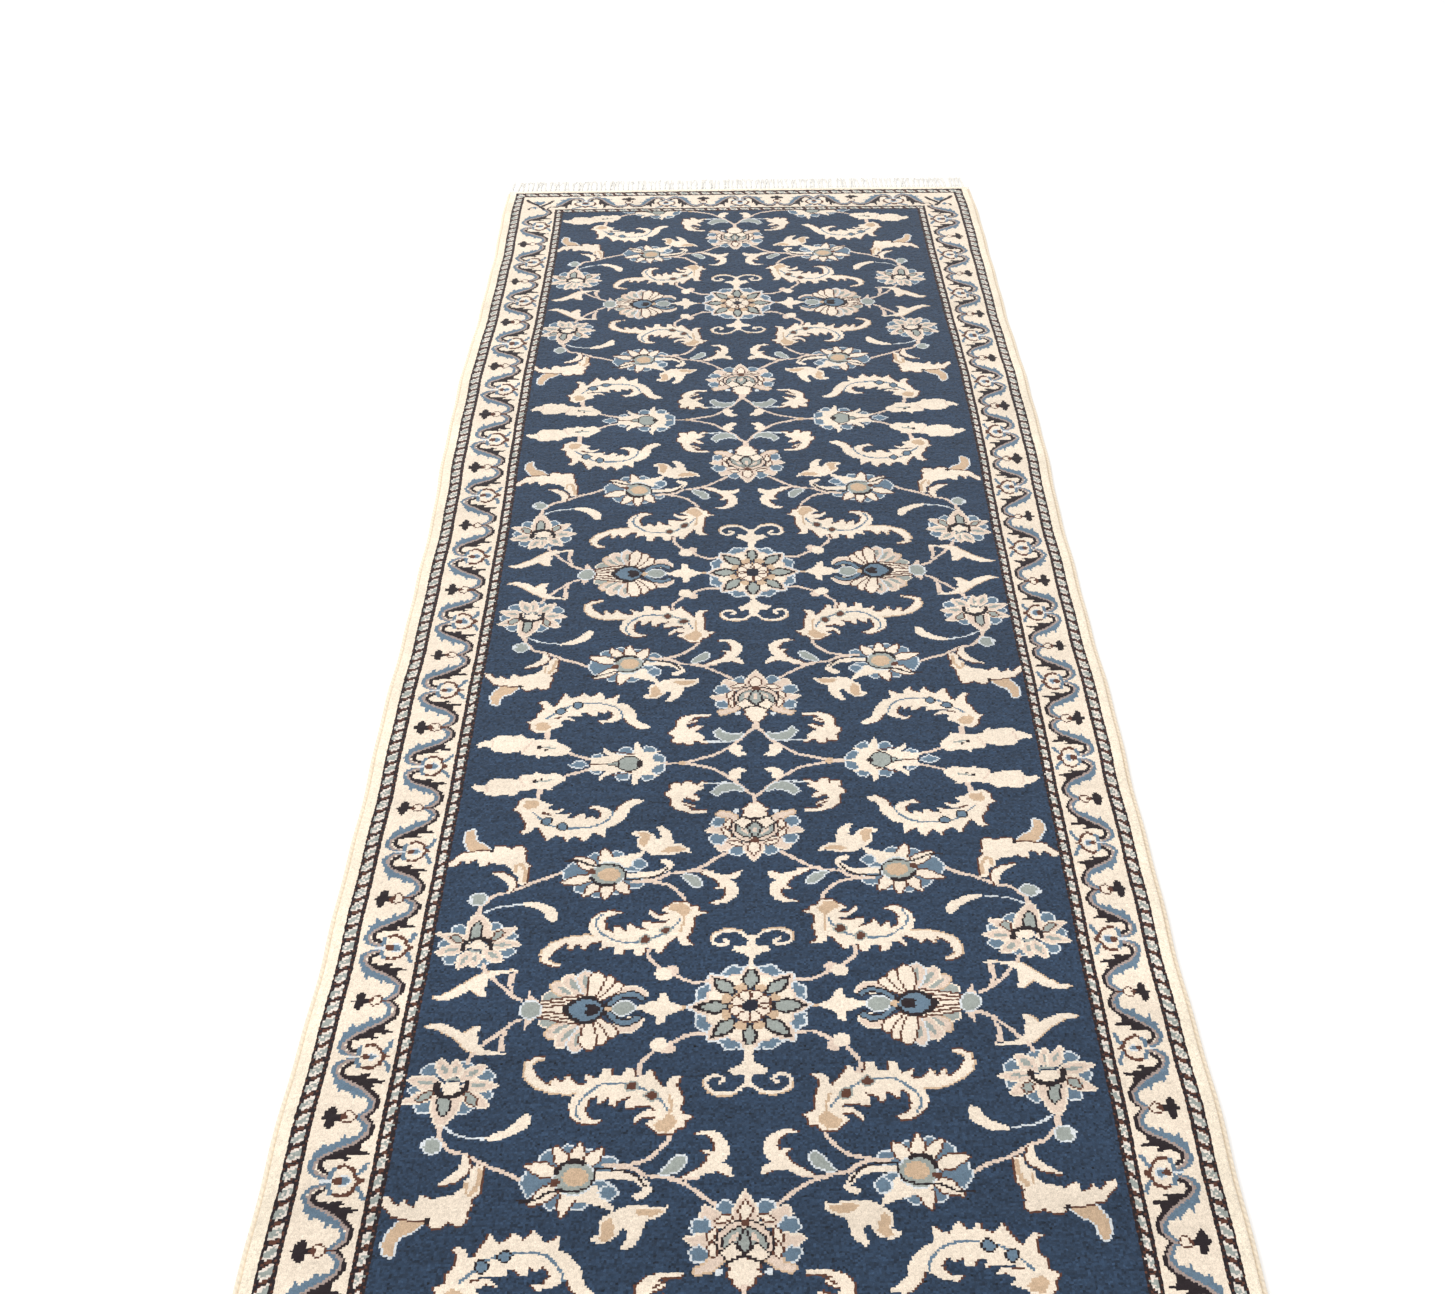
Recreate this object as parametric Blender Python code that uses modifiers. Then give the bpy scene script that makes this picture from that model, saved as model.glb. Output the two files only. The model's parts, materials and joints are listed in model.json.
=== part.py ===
"""A hand-knotted runner rug, flat on the floor, in metres.

X runs across the rug, +Y along it and +Z up out of the pile. The origin is under the middle of
the rug, on the floor. The rug lies in two halves, near (-Y) and far (+Y), which meet at the fold
line at Y = 0: the far half lifts and folds over, pile to pile, about a line along X just above
the pile.

Each half is a woven cotton foundation (a layer of warps under a layer of wefts), with the wool
pile knotted on it in zones: the field, the inner guard stripe, the main border, the outer guard
stripe and a plain edge band. A corded selvedge runs down each side, and past the last row of
knots come the flatwoven kilim band and the warps' own fringe.
"""

import math

import bpy

# Half widths, out from the rug's centre line.
FIELD_HALF = 0.2975
INNER_GUARD = 0.014
MAIN_BORDER = 0.057
OUTER_GUARD = 0.0165
EDGE_BAND = 0.009
SELVEDGE = 0.006

# Lengths, out from the fold line.
FIELD_LENGTH = 1.460
KILIM = 0.018
FRINGE = 0.050

# Heights.
WARP_TOP = 0.0014
WEFT_TOP = 0.0027
PILE_BASE = 0.0030
PILE_TOP = 0.0100
KILIM_TOP = 0.0032
FRINGE_TOP = 0.0024

# The selvedge: a bundle of warps with wool wound round it.
CORE_RADIUS = 0.0013
WRAP_INNER = 0.0016
WRAP_OUTER = 0.0029
SELVEDGE_SIDES = 16

# The fringe: bunches of warp ends below the kilim's last weft.
BUNCH_PITCH = 0.0080
BUNCH_WIDTH = 0.0040
FRINGE_HEADING = 0.0040

# The clear gap between neighbouring solids.
GAP = 0.0003

# Names of the zones from the field outwards, with their widths.
ZONES = (
    ("inner_guard", INNER_GUARD),
    ("main_border", MAIN_BORDER),
    ("outer_guard", OUTER_GUARD),
    ("edge_band", EDGE_BAND),
)

KNOTTED_HALF = FIELD_HALF + sum(width for _, width in ZONES)
KNOTTED_LENGTH = FIELD_LENGTH + sum(width for _, width in ZONES)
KILIM_END = KNOTTED_LENGTH + KILIM
RUG_END = KILIM_END + FRINGE
RUG_HALF = KNOTTED_HALF + SELVEDGE

# Colour (linear RGB) and roughness of each material.
FINISHES = {
    "warp_cotton": ((0.70, 0.66, 0.57), 0.90),
    "weft_cotton": ((0.55, 0.54, 0.50), 0.92),
    "field_wool": ((0.026, 0.058, 0.125), 0.88),
    "inner_guard_wool": ((0.24, 0.17, 0.14), 0.88),
    "main_border_wool": ((0.80, 0.68, 0.50), 0.88),
    "outer_guard_wool": ((0.27, 0.20, 0.17), 0.88),
    "edge_band_wool": ((0.84, 0.74, 0.60), 0.88),
    "selvedge_cotton": ((0.66, 0.61, 0.52), 0.90),
    "selvedge_wool": ((0.78, 0.69, 0.57), 0.85),
    "kilim_cotton": ((0.80, 0.75, 0.66), 0.92),
    "fringe_cotton": ((0.82, 0.78, 0.70), 0.90),
}

# The two halves: the side of the fold line that each lies on.
HALVES = {"near": -1, "far": 1}


def clear_scene():
    for obj in list(bpy.data.objects):
        bpy.data.objects.remove(obj)


def new_collection(name):
    collection = bpy.data.collections.new(name)
    bpy.context.scene.collection.children.link(collection)
    return collection


def new_materials():
    materials = {}
    for name, (colour, roughness) in FINISHES.items():
        material = bpy.data.materials.new(name)
        material.use_nodes = True
        shader = material.node_tree.nodes["Principled BSDF"]
        shader.inputs["Base Color"].default_value = (*colour, 1.0)
        shader.inputs["Roughness"].default_value = roughness
        shader.inputs["Metallic"].default_value = 0.0
        materials[name] = material
    return materials


def place(name, data, collection, material, parent, location=(0.0, 0.0, 0.0)):
    """An object with its data, material, place and parent."""
    obj = bpy.data.objects.new(name, data)
    obj.location = location
    obj.parent = parent
    data.materials.append(material)
    collection.objects.link(obj)
    return obj


def slab(name, outline, low, high, collection, material, parent):
    """A flat outline of corners in X and Y, filled and given a thickness from low to high."""
    curve = bpy.data.curves.new(name, "CURVE")
    curve.dimensions = "2D"
    curve.fill_mode = "BOTH"
    curve.extrude = (high - low) / 2
    spline = curve.splines.new("POLY")
    spline.points.add(len(outline) - 1)
    for point, (x, y) in zip(spline.points, outline):
        point.co = (x, y, 0.0, 1.0)
    spline.use_cyclic_u = True
    return place(name, curve, collection, material, parent, (0.0, 0.0, (low + high) / 2))


def oblong(name, x_range, y_range, low, high, collection, material, parent):
    """A slab with four square corners."""
    (x0, x1), (y0, y1) = x_range, y_range
    outline = ((x0, y0), (x1, y0), (x1, y1), (x0, y1))
    return slab(name, outline, low, high, collection, material, parent)


def from_fold(side, start, end):
    """The stretch of Y between two distances from the fold line, in rising order."""
    return tuple(sorted((side * start, side * end)))


def add_foundation(half, side, collection, materials, parent):
    """The warps and the wefts, as two thin layers as wide as the knotted part."""
    across = (-KNOTTED_HALF + GAP, KNOTTED_HALF - GAP)
    along = from_fold(side, GAP / 2, KNOTTED_LENGTH - GAP)
    layers = (
        (f"warp_sheet_{half}", 0.0, WARP_TOP, "warp_cotton"),
        (f"weft_sheet_{half}", WARP_TOP + GAP, WEFT_TOP, "weft_cotton"),
    )
    for name, low, high, finish in layers:
        oblong(name, across, along, low, high, collection, materials[finish], parent)


def add_pile(half, side, collection, materials, parent):
    """The field, then each zone as a left strip, a right strip and a mitred strip at the end."""
    wool = materials["field_wool"]
    across = (-FIELD_HALF + GAP / 2, FIELD_HALF - GAP / 2)
    along = from_fold(side, GAP / 2, FIELD_LENGTH - GAP / 2)
    oblong(f"field_pile_{half}", across, along, PILE_BASE, PILE_TOP, collection, wool, parent)

    inner_x, inner_y = FIELD_HALF, FIELD_LENGTH
    for zone, width in ZONES:
        wool = materials[f"{zone}_wool"]
        x0, x1 = inner_x + GAP / 2, inner_x + width - GAP / 2
        y0, y1 = inner_y + GAP / 2, inner_y + width - GAP / 2
        for hand, sign in (("left", -1), ("right", 1)):
            strip = (
                (sign * x0, side * GAP / 2),
                (sign * x1, side * GAP / 2),
                (sign * x1, side * (y1 - GAP)),
                (sign * x0, side * (y0 - GAP)),
            )
            slab(
                f"{zone}_{hand}_{half}", strip, PILE_BASE, PILE_TOP, collection, wool, parent
            )
        end_strip = ((-x0, side * y0), (x0, side * y0), (x1, side * y1), (-x1, side * y1))
        slab(
            f"{zone}_end_{half}", end_strip, PILE_BASE, PILE_TOP, collection, wool, parent
        )
        inner_x += width
        inner_y += width


def cord_mesh(name, radius, length):
    """An upright open tube of faces, centred on its own axis."""
    bpy.ops.mesh.primitive_cylinder_add(
        vertices=SELVEDGE_SIDES, radius=radius, depth=length, end_fill_type="NOTHING"
    )
    source = bpy.context.object
    mesh = source.data
    mesh.name = name
    bpy.data.objects.remove(source)
    return mesh


def add_selvedges(half, side, collection, materials, parent):
    """A rod of bundled warps along each side, inside a wound tube of wool."""
    length = KNOTTED_LENGTH - GAP - GAP / 2
    middle = side * (length / 2 + GAP / 2)
    for hand, sign in (("left", -1), ("right", 1)):
        centre = (sign * (KNOTTED_HALF + SELVEDGE / 2), middle, WRAP_OUTER)

        rod = bpy.data.curves.new(f"selvedge_core_{hand}_{half}", "CURVE")
        rod.dimensions = "3D"
        rod.bevel_depth = CORE_RADIUS
        rod.bevel_resolution = 2
        rod.use_fill_caps = True
        line = rod.splines.new("POLY")
        line.points.add(1)
        line.points[0].co = (0.0, -length / 2, 0.0, 1.0)
        line.points[1].co = (0.0, length / 2, 0.0, 1.0)
        place(rod.name, rod, collection, materials["selvedge_cotton"], parent, centre)

        name = f"selvedge_wrap_{hand}_{half}"
        tube = cord_mesh(name, WRAP_OUTER, length)
        wrap = place(name, tube, collection, materials["selvedge_wool"], parent, centre)
        wrap.rotation_euler = (math.pi / 2, 0.0, 0.0)
        tube.shade_smooth()
        wall = wrap.modifiers.new("wall", "SOLIDIFY")
        wall.thickness = WRAP_OUTER - WRAP_INNER
        wall.offset = -1.0


def add_kilim(half, side, collection, materials, parent):
    """The flatwoven band between the last knots and the fringe."""
    across = (-RUG_HALF + GAP / 2, RUG_HALF - GAP / 2)
    along = from_fold(side, KNOTTED_LENGTH, KILIM_END - GAP / 2)
    cotton = materials["kilim_cotton"]
    oblong(f"kilim_band_{half}", across, along, 0.0, KILIM_TOP, collection, cotton, parent)


def add_fringe(half, side, collection, materials, parent):
    """A comb: a narrow heading along the kilim's edge, with the bunches standing out of it."""
    start = KILIM_END + GAP / 2
    root = start + FRINGE_HEADING
    bunches = int(2 * RUG_HALF / BUNCH_PITCH)
    first = -(bunches - 1) * BUNCH_PITCH / 2
    outline = [(-RUG_HALF + GAP / 2, side * start), (-RUG_HALF + GAP / 2, side * root)]
    for index in range(bunches):
        x0 = first + index * BUNCH_PITCH - BUNCH_WIDTH / 2
        x1 = x0 + BUNCH_WIDTH
        outline += [(x0, side * root), (x0, side * RUG_END)]
        outline += [(x1, side * RUG_END), (x1, side * root)]
    outline += [(RUG_HALF - GAP / 2, side * root), (RUG_HALF - GAP / 2, side * start)]
    cotton = materials["fringe_cotton"]
    slab(f"fringe_{half}", outline, 0.0, FRINGE_TOP, collection, cotton, parent)


def main():
    clear_scene()
    collection = new_collection("runner_rug")
    materials = new_materials()
    for half, side in HALVES.items():
        parent = bpy.data.objects.new(f"{half}_half", None)
        parent.location = (0.0, 0.0, 0.0)
        collection.objects.link(parent)
        for add in (add_foundation, add_pile, add_selvedges, add_kilim, add_fringe):
            add(half, side, collection, materials, parent)


main()
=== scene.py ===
"""The looks of the runner rug: every knot of the pile, its woven back, bound sides and knotted fringes."""

import json
import math

import bpy
import numpy as np
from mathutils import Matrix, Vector

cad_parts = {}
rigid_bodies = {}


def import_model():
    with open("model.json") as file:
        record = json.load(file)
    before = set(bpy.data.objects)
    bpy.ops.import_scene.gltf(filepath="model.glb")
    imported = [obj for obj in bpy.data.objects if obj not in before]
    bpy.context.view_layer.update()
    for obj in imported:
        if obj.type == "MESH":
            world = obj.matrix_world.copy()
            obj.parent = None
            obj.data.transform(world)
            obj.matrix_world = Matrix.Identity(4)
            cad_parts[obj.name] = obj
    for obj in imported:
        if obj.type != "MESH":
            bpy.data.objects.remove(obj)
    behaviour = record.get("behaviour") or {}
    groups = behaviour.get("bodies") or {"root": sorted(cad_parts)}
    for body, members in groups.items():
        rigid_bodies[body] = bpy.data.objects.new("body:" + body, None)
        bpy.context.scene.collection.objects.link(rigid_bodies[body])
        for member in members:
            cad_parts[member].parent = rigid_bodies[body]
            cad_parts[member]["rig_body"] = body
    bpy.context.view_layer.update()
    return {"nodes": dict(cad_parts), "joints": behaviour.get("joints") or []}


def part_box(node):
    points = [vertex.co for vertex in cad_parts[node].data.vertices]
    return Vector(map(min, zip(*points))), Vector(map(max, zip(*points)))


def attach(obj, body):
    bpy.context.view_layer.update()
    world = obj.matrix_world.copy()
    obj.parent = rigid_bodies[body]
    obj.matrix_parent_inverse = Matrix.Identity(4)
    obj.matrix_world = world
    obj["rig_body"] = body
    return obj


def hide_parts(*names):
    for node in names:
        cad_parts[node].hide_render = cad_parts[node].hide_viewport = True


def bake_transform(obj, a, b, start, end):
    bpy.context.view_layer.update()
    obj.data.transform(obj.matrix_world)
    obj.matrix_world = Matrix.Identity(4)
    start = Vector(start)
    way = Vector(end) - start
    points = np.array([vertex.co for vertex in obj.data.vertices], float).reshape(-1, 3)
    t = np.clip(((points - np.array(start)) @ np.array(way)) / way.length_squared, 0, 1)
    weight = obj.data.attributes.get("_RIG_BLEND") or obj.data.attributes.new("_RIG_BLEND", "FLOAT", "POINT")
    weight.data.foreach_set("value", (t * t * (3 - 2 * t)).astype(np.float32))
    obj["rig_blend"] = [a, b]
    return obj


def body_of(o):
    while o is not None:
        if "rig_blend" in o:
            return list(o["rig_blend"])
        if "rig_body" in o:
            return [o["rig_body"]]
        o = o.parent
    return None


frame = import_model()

RANDOM = np.random.default_rng(12)

# ---- the frame's own measures, in metres ----
SIZES = {node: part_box(node) for node in frame["nodes"]}
FIELD_HALF = SIZES["field_pile_far"][1].x
FIELD_END = SIZES["field_pile_far"][1].y
GUARD_LIMIT = SIZES["inner_guard_right_far"][1].x - FIELD_HALF
BORDER_LIMIT = SIZES["main_border_right_far"][1].x - FIELD_HALF
OUTER_LIMIT = SIZES["outer_guard_right_far"][1].x - FIELD_HALF
KNOTTED_HALF = SIZES["edge_band_right_far"][1].x
KNOTTED_END = SIZES["edge_band_end_far"][1].y
PILE_TOP = SIZES["field_pile_far"][1].z
WEAVE_TOP = SIZES["weft_sheet_far"][1].z
KILIM_TOP = SIZES["kilim_band_far"][1].z
KILIM_END = SIZES["kilim_band_far"][1].y
FRINGE_END = SIZES["fringe_far"][1].y
RUG_HALF = SIZES["kilim_band_far"][1].x
HINGE_HEIGHT = next(j for j in frame["joints"] if j["name"] == "fold")["pos_m"][2]

KNOTS_ACROSS = 394
KNOTS_HALF_LENGTH = 778
STRIPS_PER_HALF = 4
CM = 100.0

# ---- the drawing, in centimetres ----
REPEAT_LOW, REPEAT_HIGH = 0.37, 34.72  # the medallion's line and the mid-line, as the motifs are drawn
CENTRE_SHIFT, CENTRE_LEAN = 0.1, 0.012  # the drawn centre line leans a little off the true one
BORDER_REACH = 6.62  # from a spade to the flower beside it, as drawn
KNOT = 0.2  # the side of one knot, as drawn
CURVE_STEPS = 5  # straight stretches between two points of a rounded line
STEM = 0.36
BAR_PITCH, BAR_SHARE, BAR_SLANT = 1.86, 0.32, 0.65  # a guard's bars: spacing, share of it, and slant
LOZENGE_CORE, LOZENGE_RAGGED = 0.14, 0.04  # as shares: half the grey middle, and how uneven it is
LINE_WIDTH, LINE_SWELL = 0.34, 0.3  # the dark line on a guard's edge, and how it swells beside the bars
WANDER, WANDER_WAVES = 0.1, (23.0, 13.0, 7.0, 4.0)  # how far a drawn outline strays, and in which waves
FIELD_ACROSS, FIELD_ALONG, GUARD_ALONG, BORDER_ALONG, BORDER_ACROSS = range(1, 6)  # a wander for each

# ---- where the repeats fall, in metres ----
MEDALLIONS = (-1.095, -0.372, 0.338, 1.096)
MID_LINES = (-FIELD_END, -0.734, -0.025, 0.723, FIELD_END)
LONGEST_HALF_REPEAT = 0.45
CENTRE_OVERLAP = 0.03
SIDE_SPADES = np.concatenate((np.linspace(-1.3175, -0.635, 6), np.linspace(-0.635, 0.2967, 8)[1:],
                              np.linspace(0.2967, 1.3175, 8)[1:]))
SPADE_PLACES = {-1: (1.0, 0.012), 1: (1.012, 0.010)}  # the left and right runs, stretched and shifted
END_SPADES = np.array((-0.189, -0.063, 0.063, 0.189))
CORNER_GAP = 0.146  # to where the next spade would be, past the last one
SLIP_MEAN, SLIP_SWING = 0.45, 0.68  # how far the drawn field has slipped to the left, in centimetres
SLIP_MIDDLE = 0.15  # where it has slipped least
SLIP_EASE = 0.7  # the share of the slip that is gone at the field's left side

# ---- how the rug lies, in metres ----
SKEW = 0.026  # how much the rows of knots rise from left to right
SPREAD, BULGE, BULGE_PLACE, BULGE_REACH = 1.010, 0.020, 0.8, 0.35  # widths as shares of the true one
BOW, BOW_START = -0.0065, -0.3  # the far part bends to the left, from here on
NARROWING, NARROW_END, NARROW_REACH = 0.010, 1.3, 0.4  # the right border measures less than the left
SIDE_WAVES = ((0.0012, 9.1, 0.7), (0.0007, 23.0, 0.0), (0.0005, 51.0, 2.0))  # reach, rate and phase
END_WAVE = (0.0025, 4.1, 1.0)

# ---- yarns and knots, in metres ----
TUFT_SINK, TUFT_SPREAD, PARTING, OVERHANG = 0.0003, 0.0002, 0.0003, 0.0007
JITTER = 0.00028
LOT_ROWS, LOT_SPREAD = 40, 0.035  # a dye lot, in rows, and how much the lots differ
RUN, RUN_SPREAD = 27, 0.06  # knots tied with one length of yarn, and how much the lengths differ
KNOT_SPREAD, PALE_SHARE = 0.26, 0.2  # how much single knots differ in navy, and the other dyes' share of it
WALL, BACK_KNOTS = 0.0003, 2  # the base stands out past the pile; knots to each cell of the back
BACK_LOW, BACK_SPREAD, BACK_RIM = 0.0002, 0.0001, 0.0008
TURN, TURN_DEPTH = 0.0024, 0.00022  # the side binding's turns of yarn
PLY_DEPTH, PLY_TWIST = 0.00015, 900
RIB_PITCH, RIB_DEPTH, WEFT_DEPTH = 0.003, 0.00035, 0.00012
KILIM_SINK, KILIM_GRAIN, KILIM_LOW, KILIM_RIM = 0.0005, 0.00004, 0.0003, (0.0012, 0.0016)
TASSEL_PITCH, STRANDS, YARN_HEIGHT = 0.008, 6, 0.0017
TASSEL_LEAN, STRAND_STRAY, STRAND_CURL, STRAND_RADIUS = 0.0012, 0.0030, 0.0012, 0.00062
KNOT_PLACE, KNOT_STRAY = 0.0105, 0.0008  # the tassel's knot, from the kilim's end
NECK_RADIUS, KNOT_SWELL, KNOT_LENGTH = 0.0012, 0.0013, 0.0019

# ---- the studio ----
CAMERA_PLACE, CAMERA_PITCH = (-0.0065, -1.537, 1.239), 35.57
LENS, SENSOR, LENS_SHIFT = 46.1, 36.0, -0.018
WORLD_STRENGTH, KEY_POWER, KEY_SIZE = 0.93, 70, 2.5
KEY_PLACE, KEY_TARGET = (-2.2, 1.6, 3.6), (0, 0.3, 0)
FLOOR_REACH, FLOOR_CELLS, FLOOR_COLOUR = 60.0, 24, (0.97, 0.97, 0.97)

# ---- dyes, as sRGB ----
DYES = {
    "navy": (40, 58, 80),
    "ivory": (238, 222, 202),
    "ink": (34, 24, 28),
    "brown": (92, 56, 42),
    "blue": (99, 121, 139),
    "pale": (214, 218, 220),
    "sage": (154, 160, 154),
    "tan": (203, 174, 144),
    "pink": (222, 200, 182),
    "deep": (28, 32, 46),
    "cream": (245, 231, 209),
    "oat": (230, 219, 207),
    "taupe": (164, 146, 138),
}
NAVY, IVORY, INK, BROWN, BLUE, PALE, SAGE, TAN, PINK, DEEP, CREAM, OAT, TAUPE = range(len(DYES))
COTTON = (250, 246, 238)
WEFT = (226, 216, 198)


# ---- drawing with knots ----

def smooth(points, closed=True):
    """A rounded line through the points (Catmull-Rom)."""
    p = np.array(points, float)
    n = len(p)
    out = []
    for i in range(n if closed else n - 1):
        if closed:
            a, b, c, d = (p[(i + k) % n] for k in (-1, 0, 1, 2))
        else:
            a, b, c, d = (p[min(max(i + k, 0), n - 1)] for k in (-1, 0, 1, 2))
        for t in np.arange(CURVE_STEPS) / CURVE_STEPS:
            out.append(
                0.5 * (2 * b + (c - a) * t + (2 * a - 5 * b + 4 * c - d) * t**2
                       + (3 * b - a - 3 * c + d) * t**3)
            )
    if not closed:
        out.append(p[-1])
    return np.array(out)


def turned(points, centre, angle):
    """Points drawn along +x from the origin, turned by an angle in degrees and moved."""
    c, s = math.cos(math.radians(angle)), math.sin(math.radians(angle))
    p = np.array(points, float)
    return np.stack((c * p[:, 0] - s * p[:, 1] + centre[0],
                     s * p[:, 0] + c * p[:, 1] + centre[1]), axis=1)


def twin(middle, half):
    """An outline from its right half, whose points are given from the upright line at middle."""
    return [(middle + x, y) for x, y in half] + [(middle - x, y) for x, y in reversed(half)]


def level_twin(level, half):
    """An outline from its upper half, whose points are given from the level line."""
    return [(x, level + y) for x, y in half] + [(x, level - y) for x, y in reversed(half)]


def lancet(start, end, width, belly=0.45):
    """A pointed petal along +x."""
    m = start + belly * (end - start)
    q = start + 0.5 * (belly + 1) * (end - start)
    return [(start, 0), (0.5 * (start + m), 0.36 * width), (m, 0.5 * width), (q, 0.32 * width),
            (end, 0), (q, -0.32 * width), (m, -0.5 * width), (0.5 * (start + m), -0.36 * width)]


def lobe(start, end, width):
    """A round-ended petal along +x."""
    d = end - start
    return smooth([(start, 0), (start + 0.45 * d, 0.42 * width), (start + 0.8 * d, 0.5 * width),
                   (end, 0), (start + 0.8 * d, -0.5 * width), (start + 0.45 * d, -0.42 * width)])


class Plan:
    """Knots over a stretch of rug: the place of each in centimetres, and its dye.

    An edge is one knot wide, outside the shape, on the sides named: left, right, up and down."""

    def __init__(self, u, v, ground):
        self.u, self.v = u, v
        self.dye = np.full(u.shape, ground, np.uint8)

    def window(self, points, margin=0.5):
        """The rows and columns of knots that the points reach over."""
        p = np.asarray(points, float)
        low, high = p.min(0) - margin, p.max(0) + margin
        cols = np.flatnonzero(((self.u > low[0]) & (self.u < high[0])).any(0))
        rows = np.flatnonzero(((self.v > low[1]) & (self.v < high[1])).any(1))
        if not len(cols) or not len(rows):
            return None
        return slice(rows[0], rows[-1] + 1), slice(cols[0], cols[-1] + 1)

    def tint(self, w, mask, dye, edge, sides="lrud"):
        if edge is not None:
            ring = np.zeros_like(mask)
            if "u" in sides:
                ring[1:] |= mask[:-1]
            if "d" in sides:
                ring[:-1] |= mask[1:]
            if "r" in sides:
                ring[:, 1:] |= mask[:, :-1]
            if "l" in sides:
                ring[:, :-1] |= mask[:, 1:]
            self.dye[w][ring & ~mask] = edge
        if dye is not None:
            self.dye[w][mask] = dye

    def fill(self, points, dye, edge=None, sides="lrud"):
        p = np.asarray(points, float)
        w = self.window(p)
        if w is None:
            return
        u, v = self.u[w], self.v[w]
        mask = np.zeros(u.shape, bool)
        for (x0, y0), (x1, y1) in zip(p, np.roll(p, -1, axis=0)):
            if y0 == y1:
                continue
            mask ^= ((y0 > v) != (y1 > v)) & (u < (x1 - x0) * (v - y0) / (y1 - y0) + x0)
        self.tint(w, mask, dye, edge, sides)

    def line(self, points, width, dye, edge=None):
        p = smooth(points, closed=False) if len(points) > 2 else np.asarray(points, float)
        w = self.window(p, 0.5 + width)
        if w is None:
            return
        u, v = self.u[w], self.v[w]
        near = np.full(u.shape, np.inf)
        for a, b in zip(p[:-1], p[1:]):
            d = b - a
            t = np.clip(((u - a[0]) * d[0] + (v - a[1]) * d[1]) / max(d @ d, 1e-9), 0, 1)
            near = np.minimum(near, (u - a[0] - t * d[0]) ** 2 + (v - a[1] - t * d[1]) ** 2)
        self.tint(w, near < (width / 2) ** 2, dye, edge)

    def disc(self, centre, radius, dye, edge=None, squash=1.0):
        a = np.linspace(0, 2 * np.pi, 20, endpoint=False)
        self.fill(np.stack((centre[0] + radius * np.cos(a),
                            centre[1] + squash * radius * np.sin(a)), 1), dye, edge)


# ---- the field's motifs, in centimetres: u from the centre line, v up from the medallion ----

def petals(c, centre, rows, dye, edge, shape):
    """A row is (angle, start, reach, width)."""
    for angle, start, reach, width in rows:
        c.fill(turned(shape(start, reach, width), centre, angle), dye, edge)


def medallion(c):
    o = (0.12, 0.37)
    odd = [22.5 + 45 * k for k in range(8)]
    even = [45 * k for k in range(8)]
    for grow, dye in ((0.2, PALE), (0, BLUE)):
        for turn, reach in ((-11, 4.9), (11, 4.9), (0, 5.25)):
            petals(c, o, [(a + turn, 3.0, reach + grow, 1.2 + 2 * grow) for a in odd], dye, None, lobe)
    petals(c, o, [(a, 2.3, 5.5, 2.1) for a in even], PINK, PALE, lancet)
    petals(c, o, [(a, 2.0, 4.05, 1.6) for a in odd], IVORY, PINK, lobe)
    petals(c, o, [(a, 1.7, 5.15, 1.75) for a in even], INK, None, lancet)
    petals(c, o, [(a, 2.1, 4.6, 1.15) for a in even], SAGE, None, lancet)
    petals(c, o, [(a, 1.6, 2.75, 1.1) for a in odd], TAN, None, lobe)
    c.disc(o, 1.85, TAN)
    petals(c, o, [(a, 0.5, 1.75, 0.95) for a in odd], IVORY, BROWN, lobe)
    c.disc(o, 0.62, DEEP)


def finial(c):
    body = [(0.35, 4.9), (0.3, 6.0), (0.6, 6.7), (1.1, 7.05), (1.9, 7.45), (1.5, 8.05), (0.55, 8.0),
            (0.4, 8.8), (0.6, 9.3)]
    c.fill(twin(0.15, body), IVORY)
    c.line([(0.6, 9.1), (1.3, 9.75), (2.2, 9.98), (3.2, 9.85), (3.9, 9.25), (3.9, 8.5), (3.3, 8.1),
            (2.6, 8.2), (2.4, 8.6), (2.8, 8.8)], STEM, IVORY)
    c.line([(1.2, 9.95), (2.2, 10.2), (3.2, 10.1), (4.0, 9.5), (4.15, 8.6)], 0.16, TAN)


def cross(c):
    c.line([(5.3, 0.35), (6.6, 0.35)], STEM, TAN)
    c.line([(9.6, 0.45), (10.8, 0.4)], STEM, IVORY)
    c.fill(level_twin(0.4, [(6.1, -0.05), (7.0, 0.4), (7.65, 0.85), (7.8, 1.6), (8.5, 1.85), (8.6, 0.75),
                            (9.4, 0.55), (10.2, 0)]), IVORY)


def bud_stem(c):
    c.line([(4.2, 3.45), (5.5, 3.4), (6.5, 3.9), (7.4, 4.5)], STEM, PINK)
    c.line([(8.3, 5.0), (9.0, 5.8), (9.6, 6.5), (9.75, 7.3), (9.4, 8.0)], STEM, PINK)
    c.disc((7.4, 5.0), 0.62, PINK)
    c.disc((8.15, 4.5), 0.78, IVORY)


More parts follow.
